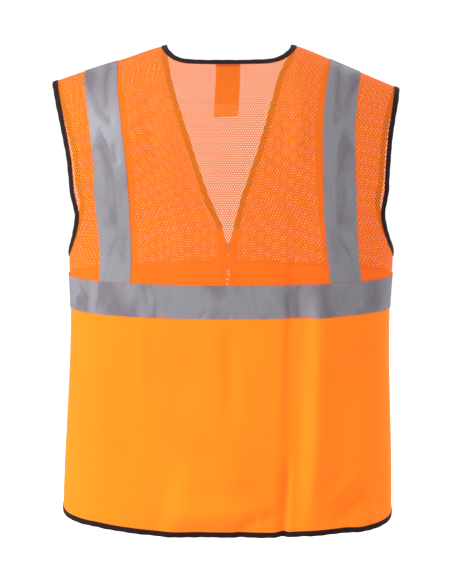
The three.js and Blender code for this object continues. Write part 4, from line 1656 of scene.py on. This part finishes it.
def plate(
    outlines: Sequence[Array], low: float, high: float, bevel: float, axis: str = "Y"
) -> Mesh:
    """A flat piece cut to an outline, with holes, its edges rounded over.

    Args:
        outlines: The outer outline and any holes, as x and z, or as y and z for axis X.
        low: Where the piece starts along the axis.
        high: Where it ends.
        bevel: How far its edges are rounded over.
        axis: The axis that it is thick along.

    Returns:
        Its mesh, in place.
    """
    data = bpy.data.curves.new("outline", "CURVE")
    data.dimensions, data.fill_mode = "2D", "BOTH"
    data.extrude, data.bevel_depth = (high - low) / 2 - bevel, bevel
    data.bevel_resolution, data.offset = 2, -bevel
    for outline in outlines:
        spline = data.splines.new("POLY")
        spline.points.add(len(outline) - 1)
        spline.points.foreach_set("co", np.pad(outline, ((0, 0), (0, 2))).ravel())
        spline.use_cyclic_u = True
    holder = bpy.data.objects.new("outline", data)
    mesh = bpy.data.meshes.new_from_object(holder)
    bpy.data.objects.remove(holder)
    middle = (high + low) / 2
    if axis == "Y":
        mesh.transform(Matrix.Translation((0, middle, 0)) @ Matrix.Rotation(RIGHT_ANGLE, 4, "X"))
    else:
        mesh.transform(Matrix(((0, 0, 1, middle), (1, 0, 0, 0), (0, 1, 0, 0), (0, 0, 0, 1))))
    return mesh


def joined(name: str, meshes: Sequence[Mesh], finish: Finish, sharp: float = 38.0) -> Piece:
    """One object from meshes that are already in place; edges that turn by more than sharp stay sharp."""
    work = bmesh.new()
    for mesh in meshes:
        work.from_mesh(mesh)
        bpy.data.meshes.remove(mesh)
    bmesh.ops.remove_doubles(work, verts=work.verts, dist=1e-6)
    bmesh.ops.recalc_face_normals(work, faces=work.faces)
    whole = bpy.data.meshes.new(name)
    work.to_mesh(whole)
    work.free()
    whole.polygons.foreach_set("use_smooth", [True] * len(whole.polygons))
    whole.set_sharp_from_angle(angle=math.radians(sharp))
    return new_object(name, whole, finish)


@dataclass(frozen=True)
class Ridges:
    """Low ridges across a face, one above the other, for the fingers to grip."""

    height: float
    pitch: float
    corner: float
    sunk: float
    raised: float = 0.35 * MM
    edge: float = 0.15 * MM

    def on(self, across: Sequence[float], run: Sequence[float], face: float, way: float) -> list[Mesh]:
        """The ridges on a face.

        Args:
            across: Where they start and end across it.
            run: The heights between which they start.
            face: The face's place along Y.
            way: Which way it looks, 1 or -1.

        Returns:
            Their meshes.
        """
        ends = sorted((face - way * self.sunk, face + way * self.raised))
        (left, right), tall = across, self.height
        bars = (rounded((left, z), (right, z + tall), self.corner) for z in np.arange(*run, self.pitch))
        return [plate([bar], *ends, self.edge) for bar in bars]


@dataclass(frozen=True)
class ToothRow:
    """A row of moulded teeth: a block clamped on the tape's cord, a neck and a round head."""

    pitch: float = 4.0 * MM
    height: float = 1.55 * MM
    thickness: float = 2.5 * MM
    head_radius: float = 0.95 * MM
    head_at: float = 0.35 * MM
    clamp_from: float = 0.9 * MM
    clamp_to: float = 3.3 * MM
    clamp_share: tuple[float, float] = (1.0, 1.12)
    neck_overlap: float = 0.3 * MM
    neck_share: tuple[float, float] = (0.72, 0.96)

    @cached_property
    def tree(self) -> NodeTree:
        """The tree: teeth set at an even pitch up a line."""
        tree, g, start = geometry_tree(
            "tooth row",
            {
                "Teeth": (INTEGER, 10),
                "Pitch": (FLOAT, self.pitch),
                "First": (VECTOR, None),
                "Hand": (FLOAT, 1.0),
                "Height": (FLOAT, self.height),
                "Thickness": (FLOAT, self.thickness),
                "Material": (MATERIAL, None),
            },
        )
        read = start.outputs
        step = g.out("ShaderNodeCombineXYZ", {2: read["Pitch"]})
        line = {"Count": read["Teeth"], "Start Location": read["First"], "Offset": step}
        points = g.out("GeometryNodeMeshLine", line, mode="OFFSET")
        parts = [
            self.block(g, read, self.clamp_from, self.clamp_to, self.clamp_share),
            self.block(g, read, self.head_at, self.clamp_from + self.neck_overlap, self.neck_share),
            self.head(g, read),
        ]
        tooth = g.add("GeometryNodeJoinGeometry")
        for part in parts:
            g.feed(tooth.inputs[0], part)
        flip = g.out("ShaderNodeCombineXYZ", {0: read["Hand"], 1: 1.0, 2: 1.0})
        turned = moved_by(g, tooth.outputs[0], Scale=flip)
        end_tree(g, laid_out(g, points, turned), read["Material"])
        return tree

    def block(self, g: Graph, read: Sockets, low: float, high: float, share: Sequence[float]) -> Socket:
        """One block of a tooth, from low to high across the zip, with shares of its height and depth."""
        tall = g.math("MULTIPLY", read["Height"], share[0])
        thick = g.math("MULTIPLY", read["Thickness"], share[1])
        size = g.out("ShaderNodeCombineXYZ", {0: high - low, 1: thick, 2: tall})
        cube = g.out("GeometryNodeMeshCube", {"Size": size})
        return moved_by(g, cube, Translation=((high + low) / 2, 0.0, 0.0))

    def head(self, g: Graph, read: Sockets) -> Socket:
        """The round head of a tooth, which locks between two others."""
        size = {"Vertices": 10, "Radius": self.head_radius, "Depth": read["Thickness"]}
        drum = g.out("GeometryNodeMeshCylinder", size)
        return moved_by(g, drum, Rotation=(RIGHT_ANGLE, 0.0, 0.0), Translation=(self.head_at, 0.0, 0.0))

    def set_up(self, name: str, hand: Hand, finish: Finish) -> Piece:
        """The row on one side of the zip."""
        low, high = box_of(f"{hand.word}_zip_chain")
        plane = (low[1] + high[1]) / 2
        start = new_object(name + "_start", bpy.data.meshes.new(name + "_start"))
        made = run_tree(start, self.tree, {
            "Teeth": int((high[2] - low[2]) / self.pitch),
            "First": (0.0, float(plane), float(low[2] + self.height / 2)),
            "Hand": hand.value,
            "Material": finish.material,
        }, name)
        turn_out(made.data)
        return made


TEETH = ToothRow()


@dataclass(frozen=True)
class ZipEnds:
    """The pieces at the zip's ends: top stops, insertion pin and retainer box."""

    soft_edge: float = 0.25 * MM
    stop_corner: float = 0.3 * MM
    pin_corner: float = 0.5 * MM
    floor_gap: float = 0.3 * MM
    ridges: Ridges = Ridges(0.6 * MM, 1.4 * MM, 0.25 * MM, 0.1 * MM)
    ridge_outer: float = 0.5 * MM
    ridge_inner: float = 0.4 * MM
    ridge_margin: float = 1.5 * MM

    def block(self, name: str, node: str, corner: float, finish: Finish) -> Piece:
        """A flat block with round corners in a node's place."""
        low, high = box_of(node)
        outline = rounded(low[::2], high[::2], corner)
        return joined(name, [plate([outline], low[1], high[1], self.soft_edge)], finish)

    def retainer_box(self) -> Piece:
        """The box on the left tape, cut away on the right above the pin's foot."""
        low, high = box_of("retainer_box")
        floor = box_of("insertion_pin")[0][2] - self.floor_gap
        outline = np.array([
            (low[0], low[2]), (high[0], low[2]), (high[0], floor), (0.0, floor), (0.0, high[2]),
            (low[0], high[2]),
        ])
        meshes = [plate([outline], low[1], high[1], self.soft_edge)]
        across = low[0] + self.ridge_outer, -self.ridge_inner
        run = floor + self.ridge_margin, high[2] - self.ridge_margin
        meshes += self.ridges.on(across, run, high[1], 1)
        return joined("moulded_retainer_box", meshes, MOULDED)

    def make(self) -> None:
        """Builds the pieces and sets them on the fronts."""
        for hand in Hand:
            node = f"{hand.word}_top_stop"
            stop = self.block(f"{hand.word}_crimped_stop", node, self.stop_corner, CAST)
            ATTACH.on(stop, f"{hand.word}_front", "zip_metal", node)
        pin = self.block("moulded_insertion_pin", "insertion_pin", self.pin_corner, MOULDED)
        ATTACH.on(pin, "right_front", "zip_plastic", "insertion_pin")
        ATTACH.on(self.retainer_box(), "left_front", "zip_plastic", "retainer_box")


@dataclass(frozen=True)
class Slider:
    """The zip's slider: two plates, their post and side rails, and the bail that holds the pull tab."""

    plate: float = 1.1 * MM
    clearance: float = 0.3 * MM
    plate_edge: float = 0.3 * MM
    outline_steps: int = 12
    # The outline, in shares of the plates' half width and of their height.
    foot_share: float = 0.86
    narrow_share: float = 0.74
    widen_from: float = 0.25
    widen_over: float = 0.5
    round_from: float = 0.86
    round_over: float = 0.17
    dip: float = 0.9 * MM
    # The post between the plates; its ends are given as drops below the top.
    post_half: float = 0.9 * MM
    post_drops: tuple[float, float] = (3.4 * MM, 0.9 * MM)
    post_corner: float = 0.6 * MM
    rail_across: tuple[float, float] = (3.6 * MM, 4.4 * MM)
    rail_up: tuple[float, float] = (0.8 * MM, 8.0 * MM)
    rail_depth: float = 0.9 * MM
    rail_corner: float = 0.3 * MM
    fine_edge: float = 0.1 * MM
    # The bail, which stands a little above the middle of the part below the shoulders.
    bail_rise: float = 1.0 * MM
    top_part: float = 3.5 * MM
    bail_half: float = 1.6 * MM
    bail_reach: float = 2.5 * MM
    bail_wall: float = 0.9 * MM
    bail_sunk: float = 0.4 * MM
    bail_floor: float = 0.5 * MM
    bail_corner: float = 1.3 * MM
    eye_corner: float = 0.7 * MM
    bail_edge: float = 0.2 * MM

    def outline(self, low: Array, high: Array) -> Array:
        """The outline of the plates: broad shoulders above, narrower below, a dip at the top."""
        half, shares = (high[0] - low[0]) / 2, np.linspace(0, 1, self.outline_steps)
        side = half * mix(self.narrow_share, 1, smooth((shares - self.widen_from) / self.widen_over))
        over = np.clip((shares - self.round_from) / self.round_over, 0, 1)
        side *= np.sqrt(np.clip(1 - over**2, 0, 1)) * 0.5 + 0.5
        side[0] *= self.foot_share
        right = np.stack([side, mix(low[2], high[2], shares)], axis=1)
        return np.concatenate([right, [(0.0, high[2] - self.dip)], right[::-1] * [-1, 1]])

    def bail(self, low: Array, high: Array, base: float) -> Mesh:
        """The bail on the front plate, with the eye that the pull tab hangs in."""
        middle = (high[2] - self.top_part + low[2]) / 2 + self.bail_rise
        reach, wall = self.bail_reach, self.bail_wall
        outer = rounded((base, middle - reach), (high[1], middle + reach), self.bail_corner)
        eye_low = (base + self.bail_floor, middle - reach + wall)
        eye = rounded(eye_low, (high[1] - wall, middle + reach - wall), self.eye_corner)
        return plate([outer, eye], -self.bail_half, self.bail_half, self.bail_edge, "X")

    def make(self) -> None:
        """Builds the slider and sets it on its body."""
        low, high = box_of("zip_slider")
        chain_low, chain_high = box_of("left_zip_chain")
        plane = (chain_low[1] + chain_high[1]) / 2
        channel = (chain_high[1] - chain_low[1]) / 2 + self.clearance
        face = channel + self.plate
        outline = self.outline(low, high)
        post_low, post_high = (high[2] - drop for drop in self.post_drops)
        post = rounded((-self.post_half, post_low), (self.post_half, post_high), self.post_corner)
        inner = face - self.plate_edge
        meshes = [
            plate([outline], plane + channel, plane + face, self.plate_edge),
            plate([outline], plane - face, plane - channel, self.plate_edge),
            plate([post], plane - inner, plane + inner, self.fine_edge),
        ]
        for hand in Hand:
            near, far = sorted(hand.value * edge for edge in self.rail_across)
            bottom, top = (low[2] + rise for rise in self.rail_up)
            rail = rounded((near, bottom), (far, top), self.rail_corner)
            for way in (1, -1):
                ends = channel + self.plate_edge, channel - self.rail_depth
                meshes.append(plate([rail], *sorted(plane + way * end for end in ends), self.fine_edge))
        meshes.append(self.bail(low, high, plane + face - self.bail_sunk))
        ATTACH.on(joined("cast_slider", meshes, CAST), "zip_slider", "zip_metal", "zip_slider")


@dataclass(frozen=True)
class PullTab:
    """The slider's pull tab: a loop round the bail, with a ridged grip and a hole for a cord."""

    corner: float = 2.0 * MM
    edge: float = 0.28 * MM
    round_steps: int = 7
    top_bar: float = 1.1 * MM
    window_half: float = 2.2 * MM
    window_rise: float = 20.0 * MM
    window_corner: float = 0.9 * MM
    hole_half: float = 1.3 * MM
    hole_rises: tuple[float, float] = (1.6 * MM, 4.2 * MM)
    hole_corner: float = 1.25 * MM
    grip_rises: tuple[float, float] = (6.5 * MM, 17.0 * MM)
    ridges: Ridges = Ridges(0.8 * MM, 1.7 * MM, 0.35 * MM, 0.2 * MM)
    ridge_inset: float = 1.3 * MM

    def make(self) -> None:
        """Builds the tab and sets it on its body."""
        low, high = box_of("zip_pull_tab")
        half, bottom = self.window_half, low[2] + self.window_rise
        window = rounded((-half, bottom), (half, high[2] - self.top_bar), self.window_corner)
        under, over = (low[2] + rise for rise in self.hole_rises)
        hole = rounded((-self.hole_half, under), (self.hole_half, over), self.hole_corner, self.round_steps)
        outline = rounded(low[::2], high[::2], self.corner, self.round_steps)
        meshes = [plate([outline, window, hole], low[1], high[1], self.edge)]
        run = [low[2] + rise for rise in self.grip_rises]
        across = low[0] + self.ridge_inset, high[0] - self.ridge_inset
        meshes += self.ridges.on(across, run, high[1], 1) + self.ridges.on(across, run, low[1], -1)
        ATTACH.on(joined("ridged_pull_tab", meshes, CAST), "zip_pull_tab", "zip_metal", "zip_pull_tab")


@dataclass(frozen=True)
class Zip:
    """The front zip: cloth tapes and teeth, with the pieces at its ends, the slider and its tab."""

    tape_top_spread: float = 5.7 * MM
    spread_from: float = -0.324
    tape_half: float = 0.3 * MM
    tape_rows: int = 160
    tape_columns: int = 13

    def tape(self, hand: Hand) -> Piece:
        """The cloth tape on one side, spread apart above the teeth."""
        low, high = box_of(f"{hand.word}_zip_tape")
        inner, outer = sorted((abs(low[0]), abs(high[0])))
        outer -= self.tape_top_spread
        z = np.linspace(high[2], low[2], self.tape_rows)[:, None]
        across = np.linspace(0, 1, self.tape_columns)[None, :]
        rise = np.clip((z - self.spread_from) / (high[2] - self.spread_from), 0, 1)
        x = hand.value * (mix(inner, outer, across) + self.tape_top_spread * rise)
        points = np.stack([x, np.full(x.shape, (low[1] + high[1]) / 2), z + 0 * x], axis=-1)
        grid = ClothGrid(points, np.broadcast_to([0.0, 1.0, 0.0], points.shape))
        piece = cloth_sheet(f"{hand.word}_zip_woven_tape", grid, -self.tape_half, self.tape_half, ZIP_CLOTH)
        return ATTACH.folding(piece, hand, "zip_tape", f"{hand.word}_zip_tape")

    def make(self) -> None:
        """Builds the zip: the teeth, the pieces at its ends, the slider and its tab ride on their bodies,
        and the tapes stay where they are built.
        """
        for hand in Hand:
            tape = self.tape(hand)
            teeth = TEETH.set_up(f"{hand.word}_moulded_teeth", hand, MOULDED)
            ATTACH.on(teeth, f"{hand.word}_front", "zip_plastic", f"{hand.word}_zip_chain")
            f"{hand.word}_front_lower_cloth"
        for part in (ZipEnds(), Slider(), PullTab()):
            part.make()


# ---- Care label ----------------------------------------------------------------------------------


@dataclass(frozen=True)
class LeafFinish(KnitFinish):
    """A woven label leaf, deeper in tone above a height and pale below it: painted shade where the first
    leaf backs it, and painted back-light through its bare lower end.
    """

    change_height: float = -0.083
    change_half: float = 0.4 * MM

    def tones(self, g: Graph, mask: object) -> Socket:
        """Deep above the change, as painted shade, and light below it, as painted back-light."""
        place = g.add("ShaderNodeTexCoord").outputs["Object"]
        height = g.add("ShaderNodeSeparateXYZ", {0: place}).outputs[2]
        low, high = self.change_height - self.change_half, self.change_height + self.change_half
        return super().tones(g, g.ramp(height, low, high))


@dataclass(frozen=True)
class CareLabel:
    """The blank care label: two thin leaves sewn in below the neck binding, curling a little."""

    curl: float = 5.0 * MM
    wave: float = 0.8 * MM
    slant: float = 3.5 * MM
    tucked: float = 4.5 * MM
    phase: float = 0.4
    longest: float = 78.0 * MM
    leaf_half: float = 0.18 * MM
    second_wider: float = 3.0 * MM
    rows: int = 45
    columns: int = 25

    def leaf(self, name: str, node: str, widen: float, finish: Finish) -> None:
        """Builds one leaf, hanging from its top edge, and sets it on its body.

        Args:
            name: The leaf's name.
            node: The node that it replaces.
            widen: How much wider it is than the node, on either side.
            finish: What it is made of.
        """
        low, high = box_of(node)
        down = np.linspace(0, 1, self.rows)[:, None]
        across = np.linspace(-1, 1, self.columns)[None, :]
        x = across * ((high[0] - low[0]) / 2 + widen) - self.slant * down**2
        z = mix(high[2] + self.tucked, low[2], down) + self.slant / 2 * across * down**2
        drop = (high[2] + self.tucked - z) / self.longest
        bend = -self.curl * drop**2 + self.wave * np.sin(3 * drop + 2 * across + self.phase) * drop
        y = (low[1] + high[1]) / 2 + bend
        points = np.stack([x, y, z], axis=-1)
        normals = np.cross(np.gradient(points, axis=1), np.gradient(points, axis=0))
        normals /= np.linalg.norm(normals, axis=-1, keepdims=True)
        piece = cloth_sheet(name, ClothGrid(points, normals), -self.leaf_half, self.leaf_half, finish)
        ATTACH.on(piece, "care_label", "label", node)

    def make(self) -> None:
        """Builds both leaves."""
        self.leaf("blank_care_label", "care_label", 0.0, LABEL)
        self.leaf("blank_second_leaf", "care_label_second_leaf", self.second_wider, LEAF)


# The pale tone is painted back-light through the thin leaf; the deep tone is painted shade where the first
# leaf backs it.
LEAF = LeafFinish("label leaf", (0.98, 0.74, 0.48), (0.75, 0.10, 0.03), 0.66, 0.35)


# ---- Studio --------------------------------------------------------------------------------------


FLOOR = Finish(
    "pale floor", (0.86, 0.86, 0.86), (0.84, 0.84, 0.84), 0.9, 0.0, glow=(1, 1, 1), glow_strength=0.55,
)


@dataclass(frozen=True)
class Studio:
    """Camera, floor and soft lights. Each light is a name, a place, a size and a power."""

    aim: Place = (-0.0031, 0.0, -0.3798)
    distance: float = 3.36
    elevation: float = math.radians(10)
    lens: float = 134.08
    sensor: float = 36.0
    floor_height: float = -1.3
    floor_half: float = 45.0
    ambient: float = 0.6
    far: float = 200.0
    lights: tuple[tuple[str, Place, float, float], ...] = (
        ("key", (-2.9, -1.6, 0.8), 2.2, 82.0), ("front_fill", (2.4, 2.4, 0.8), 2.2, 60.0),
    )

    def camera(self) -> None:
        """The camera, behind the vest and a little above it."""
        data = bpy.data.cameras.new("camera")
        data.lens, data.sensor_width = self.lens, self.sensor
        data.clip_end = self.far
        camera = bpy.data.objects.new("camera", data)
        bpy.context.scene.collection.objects.link(camera)
        back = Vector((0, -math.cos(self.elevation), math.sin(self.elevation)))
        camera.location = Vector(self.aim) + back * self.distance
        camera.rotation_euler = (-back).to_track_quat("-Z", "Y").to_euler()
        bpy.context.scene.camera = camera

    def floor(self) -> None:
        """A plain pale floor."""
        h, z = self.floor_half, self.floor_height
        corners = np.array([(-h, -h, z), (h, -h, z), (h, h, z), (-h, h, z)])
        floor = new_object("floor", mesh_of("floor", corners, [[0, 1, 2, 3]]), FLOOR)
        floor.visible_diffuse = floor.visible_glossy = False

    def light(self, name: str, place: Place, size: float, power: float) -> None:
        """A soft square light turned to the middle of the vest."""
        data = bpy.data.lights.new(name, "AREA")
        data.size, data.energy = size, power
        lamp = bpy.data.objects.new(name, data)
        bpy.context.scene.collection.objects.link(lamp)
        lamp.location = place
        lamp.rotation_euler = (Vector(self.aim) - Vector(place)).to_track_quat("-Z", "Y").to_euler()

    def make(self) -> None:
        """The whole studio."""
        self.floor()
        for light in self.lights:
            self.light(*light)
        world = bpy.data.worlds.new("studio")
        world.use_nodes = True
        background = world.node_tree.nodes["Background"]
        background.inputs["Color"].default_value = (1, 1, 1, 1)
        background.inputs["Strength"].default_value = self.ambient
        bpy.context.scene.world = world
        bpy.context.scene.view_settings.view_transform = "Standard"


def main() -> None:
    """Builds the vest in order, camera first."""
    studio = Studio()
    studio.camera()
    Back().make()
    for hand in Hand:
        Front(hand=hand).make()
    Zip().make()
    CareLabel().make()
    studio.make()


if __name__ == "__main__":
    main()
